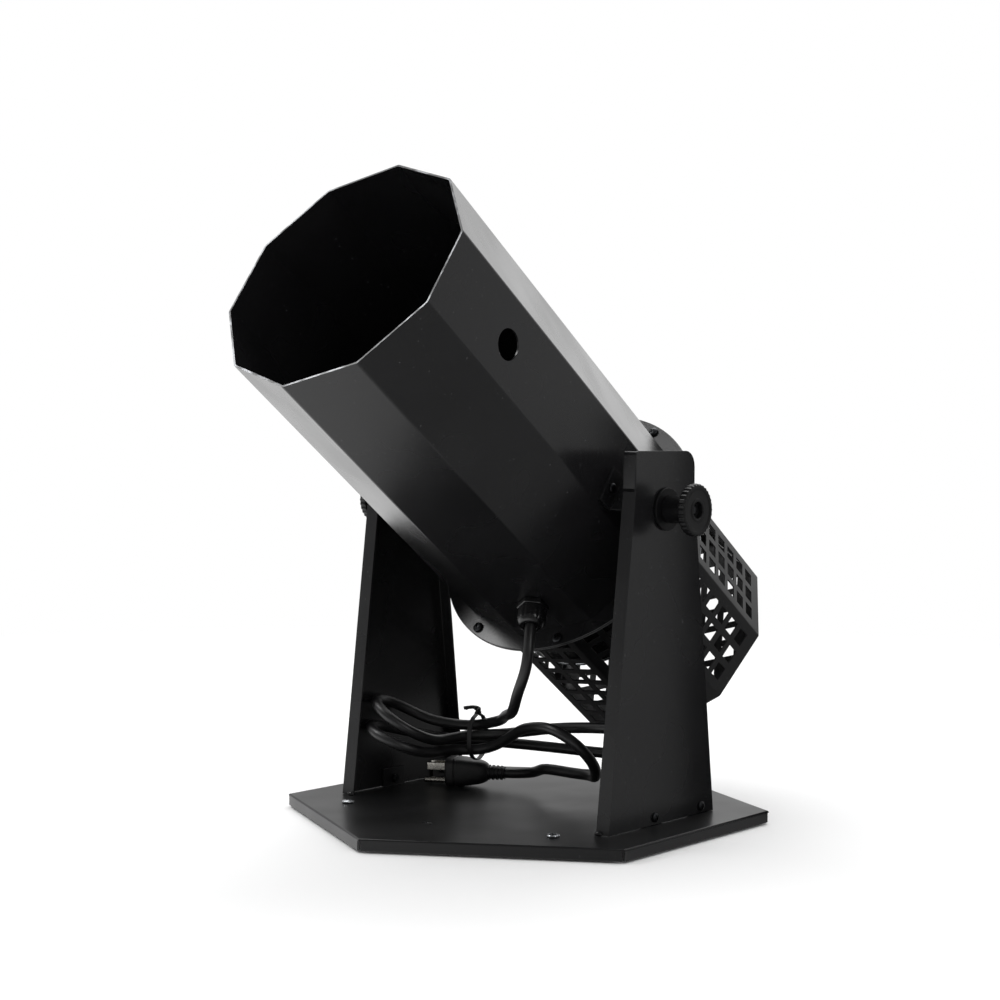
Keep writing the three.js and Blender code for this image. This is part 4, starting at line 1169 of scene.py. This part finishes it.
class BLOWER_OT_stand(bpy.types.Operator):
    """Makes the folded base plate, the uprights and the rubber feet"""

    bl_idname = "blower.stand"
    bl_label = "Stand"

    def execute(self, context):
        plate_top = STAND_AT.z + PLATE_TOP

        def is_base_fold(edge):
            flat = all(abs(p.z - plate_top) < MERGE_DISTANCE for p in edge_ends(edge))
            rises = [face.normal.z for face in edge.link_faces]
            down = any(abs(rise) < 0.1 for rise in rises) and any(rise > 0.9 for rise in rises)
            return flat and down and edge.calc_length() > BASE_FOLD

        sheet_piece("base_plate", "stand", is_base_fold, finish="coarse_coat")

        for side, sign in (("left", -1), ("right", 1)):

            def is_upright_fold(edge):
                a, b = edge_ends(edge)
                on_web = all(abs(p.x - sign * WEB_OUTSIDE) < MERGE_DISTANCE for p in (a, b))
                steep = abs(a.z - b.z) > 0.5 * (a - b).length
                return on_web and steep and edge.calc_length() > UPRIGHT_FOLD

            sheet_piece("upright_" + side, "stand", is_upright_fold, UPRIGHT_FOLD_RADIUS)
        for k in range(1, 5):
            soft_copy(f"rubber_foot_{k}", "stand", "rubber", "black_rubber", FOOT_EDGE, 3)
        make_welds()
        return {"FINISHED"}


# Half the size of a weld along X, Y and Z, and its place on the right upright, in millimetres
WELD_SIZE = (3.4, 1.8, 2.2)
WELD_AT = (126, 70.7, 10.1)


def make_welds():
    """Small tack welds at the foot of the flanges, ground and coated over"""
    bm = bmesh.new()
    bmesh.ops.create_icosphere(bm, subdivisions=3, radius=1)
    for v in bm.verts:
        ripple = 1 + 0.08 * math.sin(9 * v.co.x + 4 * v.co.y) * math.cos(7 * v.co.z)
        v.co = Vector([part * size * ripple for part, size in zip(v.co, WELD_SIZE)]) * MM
    mesh = mesh_of("tack_weld_pattern", bm)
    mesh.shade_smooth()
    x, y, z = WELD_AT
    places = [
        Matrix.Translation(Vector((side * x, end * y, z)) * MM + STAND_AT)
        for side in (-1, 1)
        for end in (-1, 1)
    ]
    welds = copies("tack_welds", link("tack_weld_pattern", mesh), places, finish_of("coat"), 60)
    settle(welds, "stand", "black_powder_coat")


FLANGE_BORE = 88 * MM
FLANGE_RADIUS = 115.5 * MM
FLANGE_SHEET = 1.5 * MM
BARREL_FLANGE_AT = 332 * MM
FAN_FLANGE_AT = 333.8 * MM
COLLAR_END = 398 * MM
FLANGE_EDGE = 0.4 * MM
COLLAR_FILLET = 1.2 * MM
MOUTH_EDGE = 0.42 * MM
MOUTH_DEPTH = 0.2 * MM


class BLOWER_OT_barrel(bpy.types.Operator):
    """Makes the ten-sided barrel, the flanges and the trunnion brackets"""

    bl_idname = "blower.barrel"
    bl_label = "Barrel"

    def execute(self, context):
        axis = (BARREL_TO_ROW.to_3x3() @ Vector((1, 0, 0))).normalized()

        def is_barrel_fold(edge):
            a, b = edge_ends(edge)
            along = abs((b - a).normalized().dot(axis)) > 0.999
            return along and edge.calc_length() > BARREL_FOLD

        fold = sizes().barrel_fold_radius
        barrel = sheet_piece("barrel", "head", is_barrel_fold, fold, MOUTH_EDGE, clamp=True)
        # The faces of the mouth's cut edge take the second finish, a painted highlight
        barrel.data.materials.append(finish_of("painted_rim_highlight"))
        to_barrel = BARREL_TO_ROW.inverted()
        for face in barrel.data.polygons:
            at_mouth = (to_barrel @ face.center).x < MOUTH_DEPTH
            if at_mouth and face.normal.dot(axis) < -0.9:
                face.material_index = 1
        for name in ("trunnion_left", "trunnion_right"):
            sheet_piece(name, "head")
        self.make_ring("barrel_flange", BARREL_FLANGE_AT)
        self.make_ring("fan_ring", FAN_FLANGE_AT, COLLAR_END)
        return {"FINISHED"}

    def make_ring(self, name, at, collar_end=None):
        """A flat flange, and with it the collar that goes on from its bore"""
        bore, radius, edge, sheet = FLANGE_BORE, FLANGE_RADIUS, FLANGE_EDGE, FLANGE_SHEET
        profile = [
            (bore, at), (radius - edge, at), (radius, at + edge), (radius, at + sheet - edge),
            (radius - edge, at + sheet),
        ]
        if collar_end:
            wall, fillet = bore + sheet, COLLAR_FILLET
            profile += [
                (wall + fillet, at + sheet), (wall, at + sheet + fillet), (wall, collar_end - edge),
                (wall - edge, collar_end), (bore, collar_end),
            ]
        else:
            profile += [(bore, at + sheet)]
        on_axis = BARREL_TO_ROW @ Matrix.Rotation(math.pi / 2, 4, "Y")
        piece = turned_piece(name + "_sheet", profile, 128, on_axis, finish_of("coat"))
        settle(piece, "head", "black_powder_coat", name)


# Cage

CAGE_START = 335.6 * MM
CAGE_END = 497.5 * MM
CAGE_CORNER = 101.2 * MM
CAGE_SHEET = 1.2 * MM
CAGE_FLATS = 10
CAGE_TURN = math.radians(21.5)
CAGE_COLUMNS = 8
CAGE_ROWS = 3
CAGE_LAST_COLUMN = 478 * MM
CAGE_LIP_BORE = 90.1 * MM
CAGE_LIP_GAP = 0.05 * MM
CAGE_FOLD = 0.9 * MM
CAGE_EDGE = 0.22 * MM
LIP_STEPS = 8


class BLOWER_OT_cage(bpy.types.Operator):
    """Makes the perforated cage over the intake, with its front lip and rear plate"""

    bl_idname = "blower.cage"
    bl_label = "Cage"

    def execute(self, context):
        pitch = sizes().hole_pitch
        rear = CAGE_LAST_COLUMN + pitch / 2
        front = rear - CAGE_COLUMNS * pitch
        tree, identifiers = perforated_tree()
        values = {
            "Columns": CAGE_COLUMNS, "Rows": CAGE_ROWS, "Pitch": pitch, "Hole": sizes().hole_width,
            "Front Margin": front - CAGE_START, "Rear Margin": CAGE_END - rear, "Flats": CAGE_FLATS,
            "Corner": CAGE_CORNER, "Sheet": CAGE_SHEET, "Turn": math.pi / 2 - CAGE_TURN,
            "Finish": finish_of("coat"),
        }
        cage = run_tree("cage_panels", tree, identifiers, values)
        bm = bmesh.new()
        bm.from_mesh(cage.data)
        bmesh.ops.translate(bm, verts=bm.verts[:], vec=((front + rear) / 2, 0, 0))
        bmesh.ops.transform(bm, matrix=BARREL_TO_ROW, verts=bm.verts[:])
        folds = [e for e in sharp_edges(bm) if e.calc_face_angle(0) < math.radians(45)]
        rounded(bm, folds, CAGE_FOLD, 2)
        rounded(bm, sharp_edges(bm, 50), CAGE_EDGE, 1)
        bpy.data.objects.remove(cage)
        piece = solid_piece("cage_panels", bm, finish_of("satin_coat"))
        settle(piece, "head", "black_powder_coat", "cage_wall")
        self.make_lip()
        rear_plate = sheet_piece("cage_rear", "head", cut_edge=CAGE_EDGE, finish="satin_coat")
        turn = BARREL_TO_ROW @ Matrix.Rotation(-HALF_STEP, 4, "X") @ BARREL_TO_ROW.inverted()
        rear_plate.data.transform(turn)
        return {"FINISHED"}

    def make_lip(self):
        """The folded lip that closes the cage's front down to the collar"""
        bm = bmesh.new()
        rings = []
        corner = CAGE_CORNER - (CAGE_SHEET + CAGE_LIP_GAP) / math.cos(HALF_STEP)
        for x in (CAGE_START, CAGE_START + CAGE_SHEET):
            outer, inner = [], []
            for k in range(CAGE_FLATS):
                a = CAGE_TURN + 2 * math.pi * (k + 0.5) / CAGE_FLATS
                b = CAGE_TURN + 2 * math.pi * (k + 1.5) / CAGE_FLATS
                for step in range(LIP_STEPS):
                    t = step / LIP_STEPS
                    y = corner * ((1 - t) * math.cos(a) + t * math.cos(b))
                    z = corner * ((1 - t) * math.sin(a) + t * math.sin(b))
                    outer.append(bm.verts.new((x, -y, z)))
                    c = a + (b - a) * t
                    place = (x, -CAGE_LIP_BORE * math.cos(c), CAGE_LIP_BORE * math.sin(c))
                    inner.append(bm.verts.new(place))
            rings.append((outer, inner))
        (front_out, front_in), (rear_out, rear_in) = rings
        around = (front_out, front_in, rear_in, rear_out, front_out)
        count = len(front_out)
        for k in range(count):
            n = (k + 1) % count
            for a, b in zip(around, around[1:]):
                bm.faces.new((a[k], a[n], b[n], b[k]))
        outward_faces(bm)
        bmesh.ops.transform(bm, matrix=BARREL_TO_ROW, verts=bm.verts[:])
        piece = solid_piece("cage_lip", bm, finish_of("coat"))
        settle(piece, "head", "black_powder_coat")


# Fan

# Half of the hub's section in millimetres: radius, and distance behind the mouth
HUB_PROFILE = (
    (0, 346.4), (18, 346), (33, 346), (36.5, 347.5), (38, 351), (38, 376),
    (36, 376), (35.6, 352), (12, 350), (6, 350), (4.3, 349), (0, 349),
)
FAN_BLADES = 5
# A blade: its radii, its middle along the axis, and its pitch in degrees and chord in millimetres at root
# and tip
BLADE_RADII = (36 * MM, 85.8 * MM)
BLADE_MIDDLE = 359.6 * MM
BLADE_PITCH = (45, 26)
BLADE_CHORD = (32, 50)
BLADE_CAMBER = 2.2 * MM
# Half the blade's thickness: at its edges, and how much more in the middle, in millimetres
BLADE_HALF = (0.35, 0.85)
BLADE_SPANS = 14
BLADE_CHORDS = 10
# Half of the motor's section, in front of its cooling ribs, one rib from its start on, and behind them
MOTOR_FRONT = (
    (0, 352.2), (3.8, 352.2), (4, 378.2), (14, 378.2), (15, 379.7), (26, 379.7), (33, 381.2),
)
MOTOR_RIB = ((36, 0), (36, 1.4), (34, 1.9), (34, 3))
MOTOR_BACK = ((35, 397.4), (34, 398.4), (0, 398.4))
MOTOR_RIB_STARTS = (382.7, 386.1, 389.5, 392.9)
MOTOR_PLATE = ((0, -1), (39.4, -1), (40, -0.5), (40, 0.5), (39.4, 1), (0, 1))
GUARD_AT = 399.8 * MM
GUARD_HUB = 38 * MM
GUARD_WIRE = 3 * MM
GUARD_FIRST = 56 * MM
GUARD_STEP = 16.2 * MM


def between(ends, share):
    return ends[0] + (ends[1] - ends[0]) * share


class BLOWER_OT_fan(bpy.types.Operator):
    """Makes the fan's rotor, the motor and the wire guard behind it"""

    bl_idname = "blower.fan"
    bl_label = "Fan"

    def execute(self, context):
        on_axis = BARREL_TO_ROW @ Matrix.Rotation(math.pi / 2, 4, "Y")
        self.make_hub(on_axis)
        self.make_blades(on_axis)
        self.make_motor(on_axis)
        self.make_guard()
        return {"FINISHED"}

    def make_hub(self, on_axis):
        piece = turned_piece("fan_hub", in_metres(HUB_PROFILE), 64, on_axis, finish_of("blade"))
        settle(piece, "rotor", "fan_aluminium", "fan_rotor")

    def blade_point(self, share, across, face):
        """A place on a blade: its share from root to tip, across its chord from -0.5 to 0.5, on one face"""
        radius = between(BLADE_RADII, share)
        pitch = math.radians(between(BLADE_PITCH, share))
        along = across * between(BLADE_CHORD, share) * MM * (1 - 0.06 * (2 * share - 1) ** 4)
        edge, middle = BLADE_HALF
        half = face * (edge + middle * math.sqrt(max(0, 1 - (2 * across) ** 2))) * MM
        up = BLADE_CAMBER * (1 - (2 * across) ** 2) + half
        turn = (along * math.cos(pitch) - up * math.sin(pitch)) / radius
        height = BLADE_MIDDLE + along * math.sin(pitch) * 0.92 + up * math.cos(pitch)
        return radius * math.cos(turn), radius * math.sin(turn), height

    def make_blades(self, on_axis):
        bm = bmesh.new()
        front, back = (
            [
                [
                    bm.verts.new(self.blade_point(i / BLADE_SPANS, j / BLADE_CHORDS - 0.5, face))
                    for j in range(BLADE_CHORDS + 1)
                ]
                for i in range(BLADE_SPANS + 1)
            ]
            for face in (1, -1)
        )
        for i in range(BLADE_SPANS):
            for j in range(BLADE_CHORDS):
                bm.faces.new((front[i][j], front[i + 1][j], front[i + 1][j + 1], front[i][j + 1]))
                bm.faces.new((back[i][j], back[i][j + 1], back[i + 1][j + 1], back[i + 1][j]))
        for i in range(BLADE_SPANS):
            for j in (0, BLADE_CHORDS):
                bm.faces.new((front[i][j], back[i][j], back[i + 1][j], front[i + 1][j]))
        for j in range(BLADE_CHORDS):
            for i in (0, BLADE_SPANS):
                bm.faces.new((front[i][j], back[i][j], back[i][j + 1], front[i][j + 1]))
        outward_faces(bm)
        pattern = solid_piece("blade_pattern", bm, finish_of("blade"), 50, weighted=False)
        turns = [Matrix.Rotation(2 * math.pi * k / FAN_BLADES, 4, "Z") for k in range(FAN_BLADES)]
        blades = copies("fan_blades", pattern, turns, finish_of("blade"), 50)
        blades.data.transform(on_axis)
        settle(blades, "rotor", "fan_aluminium")

    def make_motor(self, on_axis):
        ribs = [(radius, start + step) for start in MOTOR_RIB_STARTS for radius, step in MOTOR_RIB]
        profile = in_metres([*MOTOR_FRONT, *ribs, *MOTOR_BACK])
        motor = turned_piece("motor_case", profile, 64, on_axis, finish_of("casting"))
        settle(motor, "head", "motor_iron", "motor")

    def make_guard(self):
        tree, identifiers = wire_tree()
        values = {
            "Hoops": 3, "First Radius": GUARD_FIRST, "Step": GUARD_STEP, "Spokes": 4,
            "Hub Radius": GUARD_HUB, "Wire": GUARD_WIRE, "Finish": finish_of("zinc"),
        }
        wires = run_tree("guard_wires", tree, identifiers, values)
        at = BARREL_TO_ROW @ Matrix.Translation((GUARD_AT, 0, 0)) @ Matrix.Rotation(math.pi / 2, 4, "Y")
        wires.data.transform(at)
        wires.data.shade_smooth()
        settle(wires, "head", "zinc", "wire_guard")
        plate = turned_piece("motor_plate", in_metres(MOTOR_PLATE), 64, at, finish_of("zinc"))
        settle(plate, "head", "zinc")


# Screws

# Kinds of screw in millimetres: head radius, head height, shank radius, shank length, and its nut's radius,
# top and height
FOOT_SCREW = (4.95, 2.55, 2.5, 9.5, (4.9, -7.13, 2.4))
WEB_SCREW = (3.75, 2.15, 2, 7.1, (3.85, -4.5, 2.6))
TRUNNION_SCREW = (3.75, 2.15, 2, 8.4, None)
FLANGE_BOLT = (4.35, 2.75, 2.5, 10.3, (4.4, -4.3, 4))
SCREW_POINT = 0.4 * MM
SCREW_SIDES = 28
DOME_STEPS = 6
NUT_PLAY = 0.02 * MM
# Where the screws go, in millimetres, and how far a head stands off its sheet
FOOT_TURNS = {(-104, -97): 20, (104, -97): 65, (104, 97): 10, (-104, 97): 40}
HEAD_GAP = 0.3
WEB_ROWS = (-11, 52)
WEB_HEIGHT = 6
TRUNNION_ROWS = (-27, 27)
TRUNNION_SEAT = BARREL_FLAT + 2.5 + 0.6
FLANGE_BOLTS = 8
BOLT_CIRCLE = 109
BOLT_SEAT = 331.7


def screw_pattern(name, kind):
    """A screw on Z, the underside of its crowned head at zero and its shank going down, with its nut"""
    *screw, nut = kind
    head_radius, head_height, radius, length = (value * MM for value in screw)
    profile = [(0, head_height)]
    for k in range(DOME_STEPS + 1):
        a = math.radians(8 + 82 * k / DOME_STEPS)
        profile.append((head_radius * math.sin(a), head_height * (0.35 + 0.65 * math.cos(a))))
    profile += [
        (head_radius, 0.25 * head_height), (head_radius - 0.15 * head_height, 0), (radius, 0),
        (radius, -length + SCREW_POINT), (radius - SCREW_POINT, -length), (0, -length),
    ]
    piece = link(name, mesh_of(name, turned(profile[::-1], SCREW_SIDES)))
    bm = bmesh.new()
    width, reach, depth = 0.3 * head_radius, 1.15 * head_radius, 0.55 * head_height
    for size in ((reach, width), (width, reach)):
        cube = bmesh.ops.create_cube(bm, size=1)["verts"]
        bmesh.ops.scale(bm, vec=(*size, 2 * depth), verts=cube)
        bmesh.ops.translate(bm, vec=(0, 0, head_height), verts=cube)
    cutter = link(name + "_recess", mesh_of(name + "_recess", bm))
    modifier = piece.modifiers.new("recess", "BOOLEAN")
    modifier.operation = "DIFFERENCE"
    modifier.solver = "EXACT"
    modifier.use_self = True
    modifier.object = cutter
    bpy.context.view_layer.update()
    plain_mesh(piece)
    bpy.data.objects.remove(cutter)
    if nut:
        nut_radius, top, height = (value * MM for value in nut)
        bore, outer = radius + NUT_PLAY, nut_radius * 0.985
        profile = [
            (bore, top - height), (outer * 0.93, top - height), (outer, top - 0.85 * height),
            (outer, top - 0.15 * height), (outer * 0.93, top), (bore, top),
        ]
        nut_mesh = mesh_of(name + "_nut", turned(profile, 6))
        bm = bmesh.new()
        bm.from_mesh(piece.data)
        bm.from_mesh(nut_mesh)
        bm.to_mesh(piece.data)
        bm.free()
        bpy.data.meshes.remove(nut_mesh)
    piece.data.shade_smooth()
    return piece


def screw_place(holder, at, tilt, turn):
    """A screw's place at a point in millimetres, tilted about Y and turned about itself by degrees"""
    tilted = Matrix.Rotation(math.radians(tilt), 4, "Y") @ Matrix.Rotation(math.radians(turn), 4, "Z")
    return holder @ Matrix.Translation(Vector(at) * MM) @ tilted


def flange_place(k):
    angle = math.radians(20 + 360 / FLANGE_BOLTS * k)
    at = (BOLT_SEAT, -BOLT_CIRCLE * math.cos(angle), BOLT_CIRCLE * math.sin(angle))
    return screw_place(BARREL_TO_ROW, at, -90, math.degrees(0.7 * k))


class BLOWER_OT_screws(bpy.types.Operator):
    """Sets the screws, bolts and nuts"""

    bl_idname = "blower.screws"
    bl_label = "Screws"

    def execute(self, context):
        stand = Matrix.Translation(STAND_AT)
        top = PLATE_TOP / MM
        feet = [
            screw_place(stand, (*at, top + HEAD_GAP), 0, turn) for at, turn in FOOT_TURNS.items()
        ]
        outside = WEB_OUTSIDE / MM + HEAD_GAP
        webs = [
            screw_place(stand, (side * outside, y, top + WEB_HEIGHT), side * 90, 25 + 50 * k)
            for side in (-1, 1)
            for k, y in enumerate(WEB_ROWS)
        ]
        trunnions = [
            screw_place(HEAD_TO_ROW, (side * TRUNNION_SEAT, y, 0), side * 90, 15 + 60 * k)
            for side in (-1, 1)
            for k, y in enumerate(TRUNNION_ROWS)
        ]
        flange = [flange_place(k) for k in range(FLANGE_BOLTS)]
        sides = [f"{side}_{k}" for side in ("left", "right") for k in (1, 2)]
        for name, kind, places, body, finish, ends in (
            ("foot_screw", FOOT_SCREW, feet, "stand", "zinc", range(1, 5)),
            ("web_screw", WEB_SCREW, webs, "stand", "black_zinc", sides),
            ("trunnion_screw", TRUNNION_SCREW, trunnions, "head", "black_zinc", sides),
            ("flange_bolt", FLANGE_BOLT, flange, "head", "black_zinc", range(1, FLANGE_BOLTS + 1)),
        ):
            pattern = screw_pattern(name + "_pattern", kind)
            screws = copies(name + "s", pattern, places, finish_of(finish))
            settle(screws, body, finish, *(f"{name}_{end}" for end in ends))
        return {"FINISHED"}


# Clamp knobs

# Half of the knob's section: radius, and distance from the object's middle, in millimetres
KNOB_PROFILE = (
    (4.3, 138.2), (10.0, 138.2), (10.5, 138.8), (10.5, 156.2), (11.2, 157.6), (12.8, 158.6),
    (18.6, 158.6), (19.7, 159.2), (20.1, 160.2), (20.1, 163.6), (19.7, 164.6), (18.6, 165.1),
    (16.6, 165.1), (16.2, 164.7), (15.0, 164.4), (9.4, 164.4), (8.9, 164.8), (8.2, 165.1),
    (6.6, 165.1), (6.1, 164.6), (6.0, 161.2), (4.3, 160.8),
)
KNOB_TEETH = 32
TOOTH_ROOT = 18.5 * MM
TOOTH_REACH = 1.6 * MM
TOOTH_DEPTH = 0.85 * MM
INNER_EDGE = 0.35 * MM
OUTER_EDGE = 0.5 * MM
BOLT_EDGE = 0.3 * MM


def knurl(radius, height, angle):
    """How far the knob's rim goes in between its teeth"""
    if radius < TOOTH_ROOT:
        return 0
    share = (radius - TOOTH_ROOT) / TOOTH_REACH
    return -TOOTH_DEPTH * share * (0.5 - 0.5 * math.cos(KNOB_TEETH * angle)) ** 0.7


class BLOWER_OT_knobs(bpy.types.Operator):
    """Makes the clamp knobs with their washers and pivot bolts"""

    bl_idname = "blower.knobs"
    bl_label = "Knobs"

    def execute(self, context):
        profile, count = in_metres(KNOB_PROFILE), KNOB_TEETH * 8
        middle = Matrix.Translation(STAND_AT + Vector((0, 0, PIVOT_HEIGHT)))
        for side, sign in (("left", -1), ("right", 1)):
            name = "knob_" + side
            on_tilt_axis = middle @ Matrix.Rotation(sign * math.pi / 2, 4, "Y")
            knob = turned_piece(
                name, profile, count, on_tilt_axis, finish_of("nylon"), knurl, smooth_angle=50
            )
            settle(knob, name, "black_nylon", "clamp_knob_" + side)
            soft_copy("inner_washer_" + side, "head", "nylon", "black_nylon", INNER_EDGE)
            soft_copy("outer_washer_" + side, "head", "nylon", "black_nylon", OUTER_EDGE, 3)
            soft_copy("pivot_bolt_" + side, "head", "black_zinc", "black_zinc", BOLT_EDGE)
        return {"FINISHED"}


# Gland

# Half sections of the gland's pieces: radius, and distance from the barrel's flat, in millimetres
GLAND_CAP = (
    (8.3, 5.6), (10.9, 5.6), (11.4, 6.1), (11.4, 15.4), (11.2, 16.6), (10.6, 18.2), (9.6, 19.8),
    (8.6, 20.8), (7.6, 21.1), (6.2, 21.1), (5.2, 20.6), (4.75, 19.6), (4.75, 10.6), (8.3, 10.6),
)
GLAND_HEXAGON = ((8.05, 0.35), (11.9, 0.35), (12.7, 0.9), (12.7, 4.6), (11.9, 5.25), (8.05, 5.25))
GLAND_NUT = ((8.3, -6.3), (11.4, -6.3), (12, -5.7), (12, -2.4), (11.4, -1.8), (8.3, -1.8))
THREAD_BORE = 4.7
THREAD_ENDS = (-9, 10.2)
THREAD_TURNS = 8
THREAD_PITCH = 2.4
# Points of one turn of the thread: radius, and distance from where the turn starts
THREAD_STEPS = ((7.3, 0), (7.9, 0.6), (7.9, 1.0), (7.3, 1.6))
THREAD_ROOT = 7.3
GLAND_EDGE = 0.3 * MM
# The cap's grip: how many flutes, how deep, from which radius and height on, and where they fade out
FLUTES = 12
FLUTE_DEPTH = 0.55 * MM
FLUTE_RADIUS = 10 * MM
FLUTE_START = 5.9 * MM
FLUTE_END = 19 * MM
FLUTE_FADE = 3 * MM


def flutes(radius, height, angle):
    """How far the cap's grip goes in between its ridges"""
    if radius < FLUTE_RADIUS or height < FLUTE_START:
        return 0
    fade = max(0, min(1, (FLUTE_END - height) / FLUTE_FADE))
    return -FLUTE_DEPTH * fade * max(0, math.cos(FLUTES * angle)) ** 2


class BLOWER_OT_gland(bpy.types.Operator):
    """Makes the cable gland under the barrel"""

    bl_idname = "blower.gland"
    bl_label = "Gland"

    def execute(self, context):
        normal = Vector((math.cos(GLAND_ANGLE), 0, math.sin(GLAND_ANGLE)))
        flat = Vector((0, GLAND_ALONG * MM - PIVOT_ALONG, AXIS_ABOVE_PIVOT)) + normal * (BARREL_FLAT * MM)
        along = normal.to_track_quat("Z", "Y").to_matrix().to_4x4()
        at = HEAD_TO_ROW @ Matrix.Translation(flat) @ along
        start, end = THREAD_ENDS
        thread = [(THREAD_BORE, start)]
        for k in range(THREAD_TURNS):
            thread += [(radius, start + THREAD_PITCH * k + step) for radius, step in THREAD_STEPS]
        thread += [(THREAD_ROOT, end), (THREAD_BORE, end)]
        for name, profile, count, finish, wave, edge, smooth_angle, nodes in (
            ("gland_dome_nut", GLAND_CAP, 96, "gloss", flutes, None, 50, ["gland_cap"]),
            ("gland_hexagon", GLAND_HEXAGON, 6, "gloss", None, GLAND_EDGE, 35, ["gland_body"]),
            ("gland_thread", thread, 48, "nylon", None, None, 50, []),
            ("gland_lock_nut", GLAND_NUT, 6, "nylon", None, GLAND_EDGE, 35, ["gland_nut"]),
        ):
            material = finish_of(finish)
            piece = turned_piece(
                name, in_metres(profile), count, at, material, wave, edge, smooth_angle
            )
            settle(piece, "head", "black_nylon", *nodes)
        return {"FINISHED"}


class BLOWER_PT_panel(bpy.types.Panel):
    """Lists the blower's sizes, colours and pieces"""

    bl_idname = "BLOWER_PT_panel"
    bl_label = "Confetti blower"
    bl_space_type = "VIEW_3D"
    bl_region_type = "UI"
    bl_category = "Blower"

    def draw(self, context):
        layout = self.layout
        for group in (context.scene.blower_sizes, context.scene.blower_colours):
            for name in group.bl_rna.properties.keys():
                if name not in ("rna_type", "name"):
                    layout.prop(group, name)
        for operator in OPERATORS:
            layout.operator(operator.bl_idname)


OPERATORS = (
    BLOWER_OT_stage,
    BLOWER_OT_lead,
    BLOWER_OT_stand,
    BLOWER_OT_barrel,
    BLOWER_OT_cage,
    BLOWER_OT_fan,
    BLOWER_OT_screws,
    BLOWER_OT_knobs,
    BLOWER_OT_gland,
)
CLASSES = (BlowerSizes, BlowerColours, *OPERATORS, BLOWER_PT_panel)


def register():
    for item in CLASSES:
        bpy.utils.register_class(item)
    bpy.types.Scene.blower_sizes = bpy.props.PointerProperty(type=BlowerSizes)
    bpy.types.Scene.blower_colours = bpy.props.PointerProperty(type=BlowerColours)


def unregister():
    del bpy.types.Scene.blower_colours
    del bpy.types.Scene.blower_sizes
    for item in reversed(CLASSES):
        bpy.utils.unregister_class(item)


def main():
    register()
    for operator in OPERATORS:
        group, name = operator.bl_idname.split(".")
        getattr(getattr(bpy.ops, group), name)()


if __name__ == "__main__":
    main()
